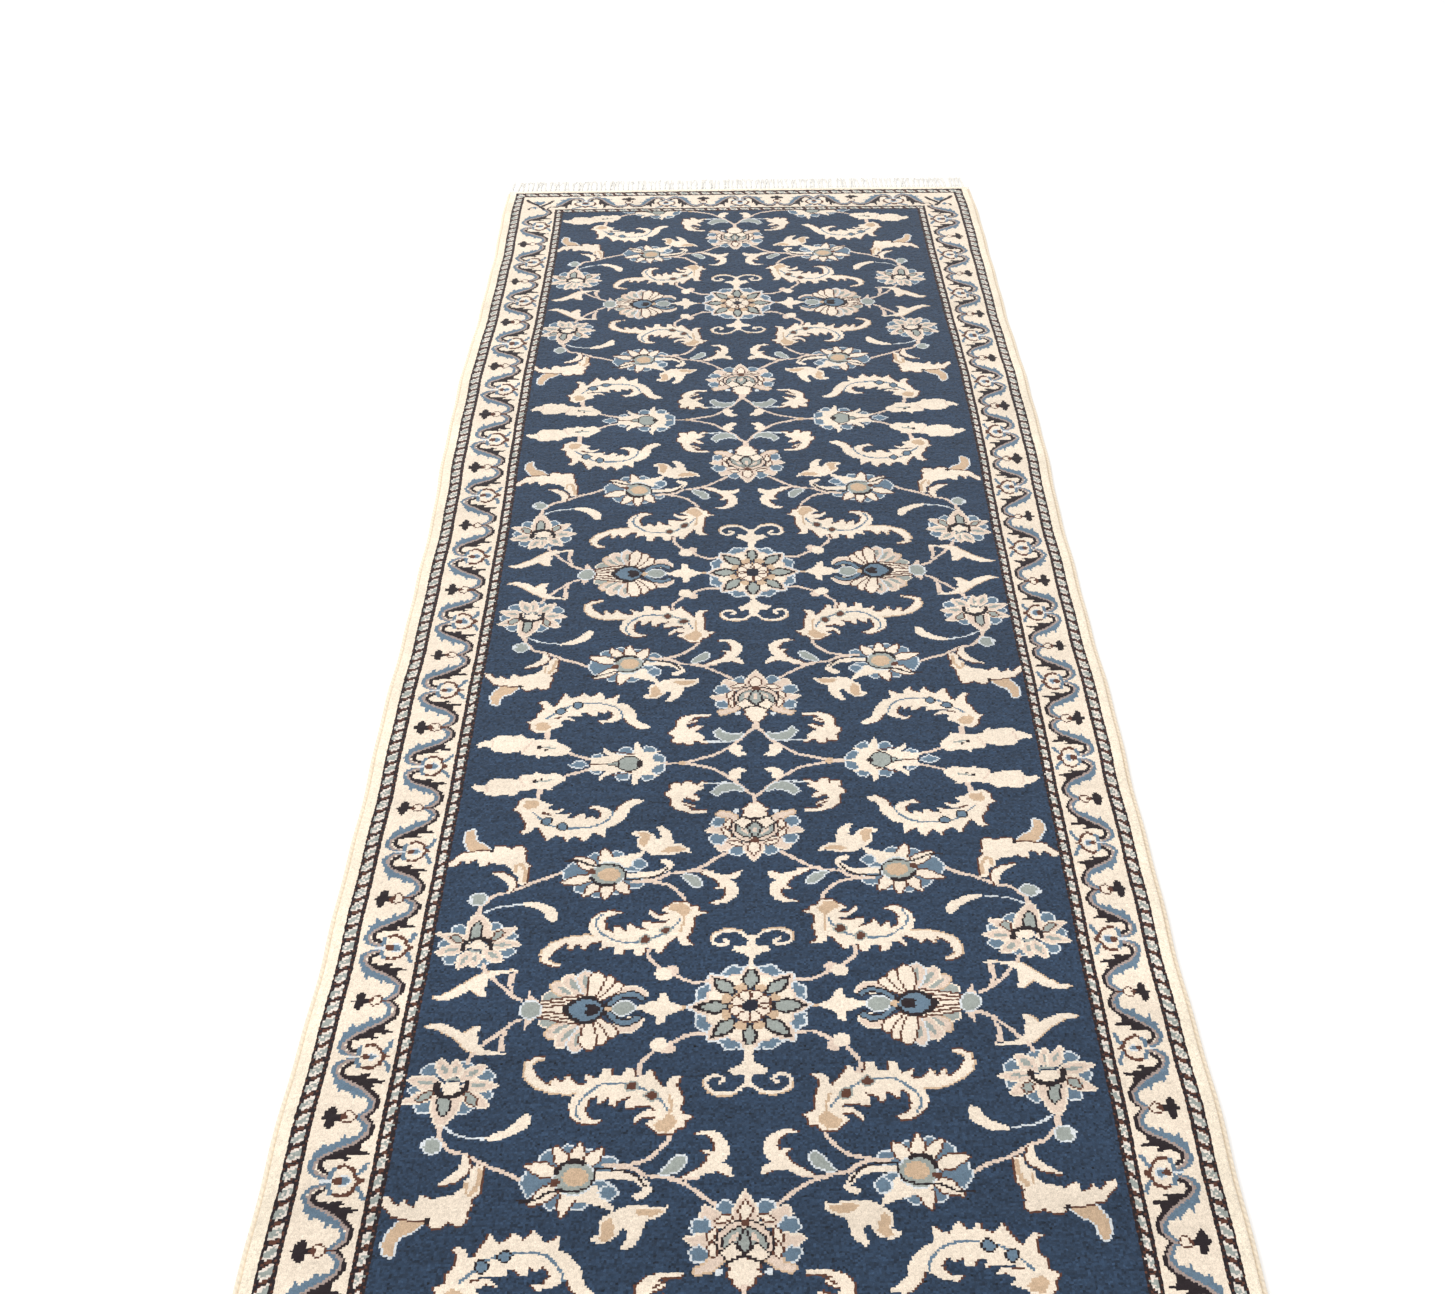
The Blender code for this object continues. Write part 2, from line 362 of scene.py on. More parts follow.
def serrated_leaf(c):
    """The long arabesque leaf beside the medallion: head, toothed back and curled tip."""
    frond = [(14.2, 9.5), (15.6, 9.6), (16.8, 9.5), (18.0, 9.1), (18.9, 8.6), (19.5, 7.9), (19.7, 7.1),
             (19.5, 6.2), (18.8, 5.75), (17.4, 5.6), (18.3, 5.95), (19.0, 6.3), (18.9, 7.0), (18.5, 7.75),
             (17.8, 8.4), (17.3, 8.7), (17.05, 7.7), (16.8, 8.1), (16.4, 8.5), (16.1, 8.2), (15.8, 7.7),
             (15.5, 8.2), (14.9, 8.7), (13.9, 8.8)]
    c.fill(frond, IVORY, TAN, "ur")
    c.fill(frond, None, BROWN, "d")
    leaf = [(6.6, 13.9), (7.7, 13.9), (8.3, 13.3), (9.0, 12.8), (8.4, 12.5), (8.1, 12.2), (9.2, 12.1),
            (9.95, 12.9), (9.95, 12.3), (9.4, 11.7), (8.7, 11.45), (8.1, 11.6), (8.5, 11.1), (9.5, 11.0),
            (10.1, 11.3), (10.6, 11.2), (10.6, 10.7), (10.1, 10.1), (11.25, 10.5), (11.5, 11.05),
            (11.9, 10.9), (12.05, 10.0), (12.5, 10.5), (13.1, 10.8), (13.2, 9.9), (13.8, 10.3),
            (14.05, 11.5), (13.9, 12.0), (13.4, 12.4), (12.6, 12.65), (13.3, 12.95), (14.1, 12.85),
            (14.7, 12.5), (15.3, 11.9), (15.55, 11.0), (15.3, 10.0), (14.6, 9.2), (14.1, 8.5),
            (14.4, 7.4), (13.9, 7.9), (13.1, 8.1), (12.8, 6.95), (12.1, 6.95), (12.0, 7.7), (11.1, 7.8),
            (10.9, 6.95), (10.25, 6.95), (10.0, 7.9), (9.2, 8.0), (9.1, 7.4), (8.7, 7.2), (8.3, 8.0),
            (7.7, 8.8), (7.2, 9.3), (7.0, 8.4), (6.6, 8.1), (5.75, 8.1), (6.2, 8.5), (6.3, 9.1),
            (6.0, 10.0), (5.9, 10.8), (6.0, 11.5), (5.8, 12.0), (4.8, 12.3), (5.5, 12.6), (5.6, 13.2),
            (6.2, 13.2)]
    c.fill(leaf, IVORY, BROWN, "lu")
    c.fill([(6.2, 12.8), (7.0, 13.8), (7.9, 13.6), (8.3, 12.9), (7.6, 12.5), (7.0, 11.9), (6.4, 12.2)], TAN)
    c.line([(6.9, 12.0), (6.85, 11.0), (7.0, 10.0)], 0.25, TAN)
    c.line([(7.2, 11.5), (7.7, 10.6), (8.5, 9.7), (9.6, 9.1), (11.0, 8.7), (12.7, 8.75), (13.9, 9.6),
            (14.6, 10.5), (14.85, 11.5), (14.4, 12.4)], 0.22, BLUE)
    for spot in ((8.4, 10.06), (10.2, 8.95)):
        c.disc(spot, 0.46, BROWN, SAGE)


def leaf_stem(c):
    c.line([(6.7, 13.8), (6.9, 14.5), (7.5, 15.3), (8.7, 16.4), (10.4, 16.85), (11.2, 17.2)], STEM, PINK)


def aster(c):
    o = (14.4, 17.95)
    c.line([(18.6, 18.3), (20.0, 17.5), (21.5, 16.9), (22.3, 16.4), (23.75, 15.6), (24.9, 15.3),
            (25.8, 14.4)], STEM, PINK)
    petals(c, o, ((-155, 1.0, 3.7, 1.3), (-113, 1.2, 2.9, 1.0), (-72, 1.2, 3.2, 1.0), (-37, 1.2, 3.6, 1.4),
                  (154, 1.0, 3.5, 1.5), (103, 1.2, 3.1, 1.2), (55, 1.2, 3.3, 1.1)), BLUE, PALE, lobe)
    c.fill([(15.6, 18.2), (18.0, 19.6), (18.7, 18.5), (18.3, 17.2)], BLUE, PALE)
    petals(c, o, ((-128, 1.0, 3.6, 1.2), (-92, 1.0, 3.4, 1.2), (-55, 1.0, 3.7, 1.1), (-16, 1.2, 4.5, 1.2),
                  (34, 1.2, 4.3, 1.3), (78, 1.2, 3.7, 1.2)), IVORY, BROWN, lancet)
    c.fill([(10.9, 21.4), (12.0, 20.8), (13.2, 20.4), (15.2, 19.9), (15.6, 19.2), (13.6, 19.2),
            (12.6, 18.6), (11.6, 19.9), (11.2, 20.6)], IVORY)
    c.disc((11.5, 19.3), 0.6, BLUE, PALE)
    c.line([(9.3, 19.75), (8.6, 19.4), (8.6, 18.9), (9.3, 18.2), (10.4, 17.85), (12.6, 17.7)], 0.65, IVORY)
    c.line([(8.6, 17.95), (9.8, 17.15), (12.0, 16.8)], 0.4, PINK)
    c.disc(o, 1.55, SAGE, PALE)
    c.disc((14.3, 17.9), 1.05, TAN, None, 0.85)
    c.line([(18.8, 19.95), (17.6, 19.95), (16.5, 19.4), (15.7, 19.15), (14.3, 19.2), (13.2, 18.8),
            (12.8, 18.0), (12.7, 17.2), (12.0, 17.15), (11.0, 17.3), (10.0, 17.55), (9.2, 18.05),
            (8.7, 18.85)], 0.22, INK)
    c.line([(15.9, 17.5), (15.5, 16.8), (14.9, 16.5), (14.2, 16.45), (13.7, 16.6)], 0.42, INK)
    c.disc((15.9, 18.4), 0.4, BROWN)


def comma_leaf(c):
    c.line([(4.5, 18.1), (5.6, 18.3), (7.2, 18.1), (8.4, 17.95)], 0.3, PINK)
    c.fill([(5.4, 16.1), (5.5, 16.8), (6.0, 17.4), (7.0, 17.8), (7.4, 17.7), (7.0, 17.1), (6.4, 16.4),
            (6.0, 16.0)], SAGE, PALE)
    c.fill([(1.4, 18.15), (1.9, 18.0), (2.7, 17.6), (3.8, 17.75), (4.8, 18.2), (5.8, 18.1), (4.9, 17.5),
            (4.1, 17.05), (3.65, 16.5), (3.4, 16.0), (3.9, 15.6), (3.4, 15.5), (3.0, 15.75), (2.8, 15.2),
            (3.1, 14.5), (3.4, 14.1), (4.6, 13.9), (4.0, 13.6), (3.1, 13.65), (2.4, 14.0), (1.8, 14.75),
            (1.75, 15.75), (2.0, 16.4), (2.5, 16.9), (1.9, 17.0), (1.6, 17.4)], IVORY, BROWN, "r")


def palmette(c):
    """The upright flower on the centre line."""
    m = 0.4
    for s in (1, -1):
        def at(points):
            return [(m + s * x, y) for x, y in points]
        c.line(at([(1.9, 21.3), (2.9, 20.5), (4.1, 19.5), (5.4, 18.6), (6.4, 18.3)]), STEM, PINK)
        c.fill(at([(0.9, 22.0), (1.0, 20.9), (1.5, 20.4), (2.2, 20.7), (2.5, 21.7)]), BLUE, PALE)
        c.fill(at([(1.2, 22.7), (2.3, 21.4), (3.3, 21.0), (3.7, 21.8), (3.0, 22.8)]), PINK, IVORY)
        c.fill(at([(2.6, 23.4), (3.2, 22.1), (4.1, 22.2), (4.4, 23.0), (3.6, 23.8)]), BLUE, PALE)
        c.fill(at([(2.0, 24.6), (3.2, 23.5), (4.8, 23.9), (4.0, 24.6), (3.0, 25.1)]), PINK, IVORY)
        c.fill(at([(2.7, 25.4), (3.6, 24.6), (4.4, 24.9), (4.1, 25.8), (3.0, 25.8)]), BLUE, PALE)
        c.fill(at([(1.8, 24.8), (2.8, 25.2), (3.0, 26.0), (4.1, 26.4), (3.8, 26.9), (2.6, 26.6),
                   (1.8, 26.0)]), PINK, TAN)
        c.disc((m + s * 2.0, 26.8), 0.32, PALE)
    c.fill(twin(m, [(1.0, 22.4), (0.95, 21.3), (0.5, 20.4), (0, 19.5)]), PINK, IVORY)
    for s in (1, -1):
        for x, y, lean in ((1.75, 22.1, -18), (2.75, 23.6, -65), (2.65, 25.0, -95)):
            c.fill(turned(lancet(-0.75, 0.75, 0.55), (m + s * x, y), -s * lean), IVORY, BROWN)
    c.disc((m, 24.2), 2.3, PINK, INK, 0.82)
    for lean, reach in ((38, 3.0), (-38, 3.0), (0, 2.8)):
        c.fill(turned(lancet(0.4, reach, 1.2, 0.6), (m, 22.5), 90 - lean), SAGE, INK)
        c.fill(turned(lancet(0.9, reach - 0.8, 0.45, 0.6), (m, 22.5), 90 - lean), PINK)
    for s in (1, -1):
        c.fill([(m + s * 1.1, 24.3), (m + s * 2.0, 25.2), (m + s * 1.2, 26.1), (m + s * 0.2, 25.5)],
                IVORY, INK)
    c.disc((m, 22.4), 0.42, BROWN)
    c.fill([(m, 20.5), (m + 0.5, 21.3), (m + 0.3, 22.1), (m - 0.3, 22.1), (m - 0.5, 21.3)], IVORY, BROWN)
    bud = [(0, 28.7), (0.3, 28.2), (0.8, 27.8), (0.9, 27.3), (1.4, 27.1), (1.05, 26.7), (1.3, 26.1),
           (0.6, 25.75)]
    c.fill(twin(m, bud), IVORY, BROWN)
    c.line([(m - 1.4, 26.1), (m - 0.7, 25.7), (m, 25.6), (m + 0.7, 25.7), (m + 1.4, 26.1)], 0.24, INK)


def fork(c):
    m = 0.45
    c.line([(m, 28.2), (m, 29.2)], 0.6, PINK)
    for s in (1, -1):
        c.line([(m + s * 0.1, 29.2), (m + s * 0.8, 30.0), (m + s * 1.4, 30.9), (m + s * 2.3, 31.9)],
                STEM, PINK)
    c.line([(2.6, 31.75), (3.4, 32.5), (4.25, 33.25), (5.1, 33.8), (6.25, 34.15), (7.25, 34.45),
            (8.25, 34.7), (9.9, 34.7)], STEM, PINK)
    c.disc((8.2, 34.75), 0.42, TAN)
    c.fill([(1.3, 33.6), (2.2, 33.95), (2.9, 33.6), (3.3, 32.9), (3.3, 32.3), (2.6, 31.8), (1.9, 32.2),
            (2.0, 33.0)], IVORY)
    c.line([(3.6, 31.55), (4.5, 31.4), (5.4, 31.4)], 0.25, PALE)
    c.fill([(1.6, 30.0), (2.0, 30.9), (3.0, 31.4), (3.7, 31.3), (4.3, 30.9), (4.9, 29.9), (4.3, 29.2),
            (3.9, 29.9), (3.1, 30.2), (2.4, 30.35)], SAGE, PALE)


def lobed_leaf(c):
    c.fill([(5.2, 31.5), (6.0, 31.65), (6.5, 31.2), (7.0, 31.3), (7.1, 31.8), (7.9, 31.8), (8.0, 31.1),
            (8.4, 31.55), (9.2, 31.4), (9.25, 30.9), (8.9, 30.6), (9.5, 30.1), (9.5, 29.6), (8.9, 29.1),
            (8.8, 27.9), (8.2, 27.2), (7.0, 26.75), (5.3, 26.75), (5.4, 27.1), (6.7, 27.1), (7.4, 27.6),
            (6.4, 27.7), (6.9, 28.1), (7.9, 28.5), (7.7, 29.1), (6.0, 28.65), (6.4, 29.3), (6.9, 29.75),
            (6.2, 30.3), (5.7, 30.7), (6.2, 31.0)], IVORY, BROWN, "ru")
    c.line([(6.6, 27.5), (7.6, 28.1)], 0.2, BROWN)
    c.line([(6.6, 28.6), (7.5, 29.2)], 0.2, BROWN)


def side_flower(c):
    """The flower on the mid-line, halfway between two medallions."""
    o = (13.6, 34.72)
    for s in (1, -1):
        def at(points):
            return [(x, o[1] - s * (o[1] - y)) for x, y in points]
        c.fill(at([(10.0, 34.6), (10.1, 33.6), (10.9, 33.2), (11.6, 33.8), (11.3, 34.6)]), BLUE, PALE)
        c.fill(at([(11.0, 33.2), (11.2, 32.3), (12.0, 32.0), (12.4, 32.9)]), BLUE, PALE)
        c.fill(at([(13.4, 33.2), (13.6, 32.2), (14.4, 32.1), (14.9, 33.0)]), BLUE, PALE)
        c.fill(at([(16.3, 33.8), (16.6, 33.1), (17.3, 33.4), (17.2, 34.0)]), BLUE, PALE)
        c.fill(at([(9.9, 34.72), (11.0, 34.4), (11.3, 33.4), (10.4, 32.7), (11.3, 32.9), (12.2, 32.9),
                   (12.7, 31.9), (12.8, 31.0), (13.3, 31.8), (13.2, 32.9), (14.0, 33.4), (15.0, 33.2),
                   (15.9, 32.6), (16.4, 32.0), (16.4, 32.8), (15.8, 33.5), (17.4, 33.7), (18.3, 33.5),
                   (17.6, 34.1), (17.4, 34.72)]), IVORY)
        c.line(at([(13.2, 33.3), (14.2, 33.1), (15.2, 32.8)]), 0.2, BROWN)
    c.fill([(17.7, 34.72), (18.7, 34.1), (19.7, 34.72), (18.7, 35.4)], BLUE, PALE)
    c.line([(14.8, 34.72), (17.6, 34.72)], 0.2, BROWN)
    c.fill([(13.6, 34.0), (14.6, 34.4), (15.9, 34.72), (14.6, 35.05), (13.6, 35.4)], SAGE, INK)
    c.disc(o, 1.1, SAGE, INK)
    c.disc((12.5, 34.72), 0.38, INK)


def bud_leaf(c):
    c.line([(17.9, 33.8), (19.0, 33.4), (20.0, 32.9)], 0.35, PINK)
    c.line([(22.3, 30.9), (22.5, 29.4)], 0.55, PINK)
    c.fill([(19.8, 32.3), (20.0, 32.9), (20.7, 33.4), (21.4, 33.4), (22.0, 33.2), (22.8, 33.4),
            (23.1, 33.7), (23.4, 33.1), (24.4, 33.2), (24.9, 32.4), (26.2, 32.75), (27.8, 32.6),
            (28.3, 31.8), (29.0, 31.6), (29.4, 31.9), (29.7, 31.3), (29.0, 30.7), (28.2, 30.5),
            (27.9, 30.0), (26.9, 29.85), (26.0, 30.1), (25.1, 29.85), (24.5, 30.6), (23.3, 30.8),
            (22.2, 30.8), (21.1, 30.6), (21.2, 31.0), (20.4, 31.7)], IVORY)
    c.line([(24.7, 32.8), (24.5, 32.2), (24.0, 31.3)], 0.22, PINK)
    c.line([(28.1, 31.7), (27.9, 30.6)], 0.22, PINK)
    c.line([(21.4, 32.2), (22.8, 31.95)], 0.24, SAGE)
    c.disc((22.3, 32.4), 0.18, INK)
    c.disc((22.95, 32.0), 0.26, INK)


def second_leaf(c):
    c.fill([(22.5, 29.5), (22.0, 28.9), (20.9, 28.45), (21.3, 27.8), (20.6, 27.4), (19.6, 27.7),
            (20.4, 26.95), (21.6, 26.9), (21.2, 26.75), (19.6, 26.8), (18.9, 26.95), (19.2, 26.2),
            (18.4, 26.3), (18.0, 26.8), (17.4, 26.8), (17.4, 26.0), (16.6, 26.5), (16.25, 26.0),
            (15.8, 26.3), (15.6, 26.8), (16.0, 27.5), (16.5, 27.75), (17.1, 27.75), (16.7, 28.2),
            (16.0, 28.1), (15.2, 27.8), (14.6, 27.3), (14.3, 27.1), (14.0, 27.9), (13.4, 28.6),
            (12.6, 29.05), (11.6, 28.9), (11.7, 28.6), (12.4, 28.1), (13.0, 27.5), (13.1, 26.75),
            (13.4, 26.0), (13.9, 25.4), (14.3, 24.9), (15.2, 24.6), (15.1, 23.1), (15.8, 23.7),
            (16.5, 23.9), (16.8, 23.1), (17.3, 22.6), (17.6, 23.2), (18.2, 23.6), (18.9, 22.7),
            (19.2, 23.4), (20.1, 23.8), (20.9, 22.85), (21.1, 23.6), (21.8, 24.9), (22.2, 25.1),
            (22.6, 24.3), (23.2, 23.95), (23.7, 24.25), (23.2, 24.6), (23.2, 25.6), (23.8, 26.4),
            (23.9, 27.2), (24.8, 27.75), (24.4, 28.1), (24.3, 29.0), (23.6, 29.6)], IVORY, BROWN, "r")
    c.line([(21.2, 27.0), (21.9, 27.1)], 0.22, BROWN)
    c.fill([(22.4, 29.0), (23.5, 29.2), (23.9, 28.2), (23.3, 27.7), (22.6, 27.9), (22.1, 28.5)], TAN)
    c.line([(14.6, 27.2), (14.8, 26.4), (15.3, 25.6), (16.1, 25.0), (17.3, 24.7), (18.8, 24.7),
            (20.4, 25.1), (22.0, 26.4), (22.8, 27.2)], 0.22, BLUE)
    for spot in ((19.5, 25.0), (21.25, 25.9)):
        c.disc(spot, 0.46, BLUE, INK)


def bird_leaf(c):
    c.fill([(10.2, 24.6), (9.75, 24.75), (9.0, 24.2), (8.6, 23.5), (8.4, 22.75), (8.25, 22.1), (7.5, 21.9),
            (6.75, 21.3), (6.55, 20.6), (7.25, 20.9), (8.25, 20.65), (9.5, 20.55), (10.4, 20.7),
            (11.1, 21.25), (11.9, 21.75), (12.05, 22.3), (11.9, 23.2), (12.6, 23.5), (12.6, 23.8),
            (12.0, 24.1), (11.1, 24.0), (10.5, 23.5), (10.1, 22.75), (9.6, 23.0), (9.8, 23.8)], IVORY)
    c.fill([(6.9, 21.2), (7.8, 21.7), (8.8, 21.6), (9.4, 21.1), (8.9, 20.85), (7.3, 21.0)], TAN)
    c.fill([(10.7, 23.4), (11.3, 23.9), (12.0, 23.8), (11.7, 23.1), (11.85, 22.3), (11.2, 21.7),
            (10.9, 22.4)], TAN)


def branch_leaf(c):
    c.fill([(26.25, 21.8), (26.9, 22.6), (27.75, 23.0), (28.1, 23.6), (28.25, 24.75), (28.9, 24.6),
            (29.1, 23.9), (29.05, 23.0), (28.6, 22.1), (28.0, 21.3), (26.6, 21.4)], TAN, PALE)
    c.fill([(22.1, 16.8), (22.2, 18.5), (22.1, 19.1), (22.5, 19.5), (22.75, 19.9), (22.6, 20.4),
            (22.9, 21.0), (22.8, 21.5), (23.1, 22.05), (23.75, 22.05), (24.25, 21.75), (24.75, 22.15),
            (25.6, 22.2), (26.1, 21.6), (28.0, 21.4), (29.0, 21.2), (29.5, 20.5), (30.1, 19.9),
            (30.1, 19.2), (29.5, 19.4), (29.0, 20.1), (28.6, 20.2), (28.3, 19.6), (28.0, 20.1),
            (27.4, 20.4), (27.1, 19.4), (26.6, 19.5), (26.2, 19.9), (25.5, 19.6), (24.5, 19.4),
            (23.75, 18.8), (23.7, 18.2), (23.1, 17.8), (23.0, 16.9), (22.6, 16.6)], IVORY, BROWN, "lu")
    c.line([(22.4, 17.2), (22.5, 18.6), (23.0, 19.4)], 0.4, TAN)
    c.line([(23.4, 19.3), (23.45, 18.4)], 0.3, TAN)
    c.disc((26.0, 21.6), 0.26, INK)
    c.fill([(23.5, 15.6), (23.1, 16.8), (23.5, 17.6), (24.5, 18.3), (25.9, 18.5), (25.2, 18.0),
            (24.4, 17.4), (23.9, 16.5), (23.9, 15.7)], IVORY, BROWN, "lu")


def node(c):
    c.line([(25.6, 14.6), (26.1, 13.9), (26.15, 13.2), (26.5, 12.4)], 0.5, PINK)
    c.disc((26.6, 14.7), 0.75, SAGE, PALE)
    c.disc((27.35, 14.5), 0.3, PALE)


def crescent(c):
    c.line([(25.8, 12.8), (25, 13.4), (24.2, 13.75), (23.4, 13.9), (22.3, 14.1)], 0.2, PALE)
    c.fill([(22.1, 14.35), (21, 14.3), (20.25, 14.05), (19.4, 13.6), (18.8, 13.1), (18.65, 12.4),
            (18.7, 11.8), (19.1, 11.6), (19.6, 12.0), (20, 12.75), (20.75, 13.35), (21.6, 13.7),
            (22.2, 14.0)], IVORY)


def lotus(c):
    o = (25.8, 8.7)
    petals(c, o, ((121, 1.6, 3.1, 1.1), (163, 1.8, 3.6, 1.0), (200, 1.8, 3.7, 1.1), (-112, 1.6, 2.8, 1.2),
                  (-40, 1.8, 3.4, 1.1), (4, 2.0, 3.6, 1.0), (45, 1.8, 3.5, 1.1)), BLUE, PALE, lobe)
    petals(c, o, ((148, 0.8, 4.0, 1.3), (180, 0.8, 4.0, 1.2), (222, 0.8, 3.5, 1.3), (-90, 0.8, 2.9, 1.1),
                  (-64, 0.8, 3.4, 1.2), (-14, 0.8, 4.0, 1.3), (22, 0.8, 4.2, 1.2)), PINK, IVORY, lancet)
    petals(c, o, ((148, 1.6, 3.0, 0.5), (182, 1.6, 3.2, 0.5), (222, 1.5, 2.9, 0.6), (-90, 1.3, 2.3, 0.4),
                  (-64, 1.4, 2.8, 0.5), (-14, 1.6, 3.3, 0.5), (22, 1.7, 3.3, 0.5)), SAGE, None, lancet)
    c.fill([(24.7, 9.3), (25.0, 11.0), (25.9, 12.5), (26.7, 12.5), (27.1, 11.3), (27.2, 9.6)], PINK, IVORY)
    c.fill([(25.8, 9.7), (25.8, 11.1), (26.2, 11.7), (26.6, 11.1), (26.6, 9.7)], SAGE, INK)
    c.fill(turned(lancet(-0.75, 0.75, 0.75), (24.05, 9.9), -60), SAGE, BROWN)
    c.fill(turned(lancet(-0.75, 0.75, 0.75), (27.9, 9.6), 40), SAGE, BROWN)
    c.line([(24.5, 8.2), (24.6, 9.0), (25.2, 9.45), (25.8, 9.6), (26.5, 9.45), (27.0, 9.0), (27.1, 8.2)],
            0.48, INK)
    c.disc(o, 0.8, IVORY, None, 0.72)
    c.line([(25.3, 8.0), (25.8, 7.85), (26.3, 8.0)], 0.22, SAGE)
    c.line([(24.9, 6.2), (24.7, 5.6), (24.4, 5.1)], 0.35, PINK)


def low_leaf(c):
    c.line([(23.8, 4.4), (23.1, 3.5), (22.25, 2.75), (21.5, 2.0), (20.6, 1.5)], 0.35, PINK)
    c.fill([(21.4, 5.15), (22.0, 5.35), (23, 5.25), (24, 5.3), (24.9, 5.0), (25.75, 4.15), (26.5, 3.45),
            (27.4, 2.8), (28, 2.35), (29.2, 2.15), (28.3, 1.65), (27.5, 1.75), (26.5, 2.2), (25.6, 2.9),
            (25.25, 2.5), (24.75, 2.0), (24.1, 2.05), (24.4, 2.9), (24.2, 3.6), (24.3, 4.1), (23.75, 4.6),
            (23, 4.9)], IVORY, TAN, "r")
    c.fill([(21.7, 5.0), (22.4, 4.9), (22.4, 4.0), (22.3, 3.3), (21.9, 2.7), (21.5, 2.2), (21.9, 3.6)],
            PINK)


def side_palmette(c):
    """The flame-shaped flower on the medallion's own axis, the same above and below it."""
    m = 0.4
    for s in (1, -1):
        def at(points):
            return [(x, m + s * (y - m)) for x, y in points]
        c.fill(at([(9.75, 1.6), (9.8, 2.3), (10.5, 2.95), (11.5, 3.0), (12.2, 2.2), (11.0, 1.6)]),
               PINK, IVORY)
        c.line(at([(10.1, 1.5), (10.9, 2.0), (12.0, 1.8), (12.8, 1.0)]), 0.45, BLUE, INK)
        for tip, width, dye, edge in (((18.8, 2.0), 1.5, SAGE, IVORY), ((18.1, 3.5), 1.4, PINK, TAN),
                                      ((17.0, 4.5), 1.4, PINK, IVORY), ((15.4, 5.1), 1.4, PINK, PALE),
                                      ((11.9, 3.4), 1.1, IVORY, BROWN), ((12.9, 4.3), 1.2, IVORY, BROWN),
                                      ((14.1, 4.9), 1.3, IVORY, BROWN)):
            run, rise = tip[0] - 14.6, tip[1] - 1.0
            angle = math.degrees(math.atan2(rise, run))
            c.fill(at(turned(lobe(0.3, math.hypot(run, rise), width), (14.6, 1.0), angle)), dye, edge)
            if dye == PINK:
                c.fill(at(turned(lancet(1.8, math.hypot(run, rise) - 0.5, 0.7), (14.6, 1.0), angle)), SAGE)
        c.fill(at([(14.6, 0.4), (14.6, 2.0), (16.6, 1.9), (19.2, 1.2), (19.2, 0.4)]), IVORY)
        for low, high in ((0.35, 0.25), (0.85, 0.6), (1.3, 0.95)):
            c.line(at([(15.2, m + low + 0.35), (17.2, m + low), (19.1, m + high - 0.1)]), 0.22, BROWN)
        c.fill(at([(19.1, 1.2), (19.8, 2.1), (20.1, 2.7), (20.2, 1.8), (20.4, 1.2)]), PINK)
    c.disc((19.8, m + 0.1), 0.85, SAGE, PALE)
    rim = [(12.9, 0), (13.4, 0.9), (14.3, 1.55), (15.3, 1.55), (16.2, 1.0), (16.9, 0.2)]
    c.fill(level_twin(m, rim), INK)
    heart = [(13.3, 0), (13.8, 0.8), (14.5, 1.2), (15.3, 1.15), (15.9, 0.7), (16.3, 0.1)]
    c.fill(level_twin(m, heart), BLUE)
    c.disc((14.4, m), 0.75, INK, None, 0.9)
    c.disc((15.1, m), 0.28, BLUE)
    c.disc((11.6, m), 1.0, SAGE, PALE, 0.75)
    c.disc((13.0, m), 0.35, TAN)


FIELD_MOTIFS = (leaf_stem, cross, side_palmette, medallion, finial, bud_stem, serrated_leaf, aster,
                comma_leaf, palmette, fork, side_flower, bud_leaf, second_leaf, lobed_leaf, bird_leaf,
                branch_leaf, node, crescent, low_leaf, lotus)


def draw_field(u, v):
    c = Plan(u, v, NAVY)
    for motif in FIELD_MOTIFS:
        motif(c)
    return c.dye


# ---- the main border: a runs from a spade to the flower beside it, b inwards from the outer guard ----

def vine(c):
    """The meander: a blue-edged stem with a saw-toothed blue leaf outside and an ink leaf inside."""
    path = [(0.05, 3.75), (0.45, 4.3), (1.1, 4.72), (1.95, 4.6), (2.75, 3.85), (3.5, 2.65), (4.25, 1.5),
            (5.05, 1.0), (5.8, 1.25), (6.2, 1.9), (6.3, 2.35)]
    c.fill([(5.3, 0.65), (4.6, 0.6), (4.2, 0.8), (3.7, 0.75), (3.5, 1.2), (2.6, 1.5), (3.1, 1.85),
            (2.7, 2.3), (2.6, 2.7), (1.9, 2.95), (2.4, 3.2), (2.05, 3.6), (2.3, 4.2), (3.2, 3.1),
            (4.1, 1.7), (5.0, 0.9)], BLUE)
    c.fill([(4.2, 1.55), (4.65, 1.75), (4.5, 2.6), (4.6, 3.5), (4.35, 3.95), (4.25, 3.45), (4.0, 3.6),
            (4.0, 4.4), (3.9, 5.2), (3.65, 5.0), (3.55, 4.3), (3.2, 4.4), (2.9, 4.3), (3.4, 3.4),
            (3.8, 2.4)], INK)
    c.line([(x + 0.08, y + 0.3) for x, y in path[:7]], 0.4, INK)
    c.line([(4.2, 1.8), (5.0, 1.42), (5.55, 1.6), (5.85, 2.1)], 0.42, INK)
    c.line([(x, y - 0.36) for x, y in path], 0.4, BLUE)
    c.line(path, 0.26, TAUPE)


def spade(c):
    c.fill([(-0.3, 0.6), (0.2, 0.6), (0.3, 0.95), (0.7, 0.95), (1.15, 1.25), (1.2, 1.55), (0.85, 1.8),
            (0.4, 1.85), (0.25, 2.35), (-0.3, 2.35)], INK)
    c.disc((0, 2.85), 0.5, IVORY, BROWN)
    c.disc((0, 2.4), 0.3, BROWN)
    c.line([(0, 3.4), (0, 3.95)], 0.26, BROWN)


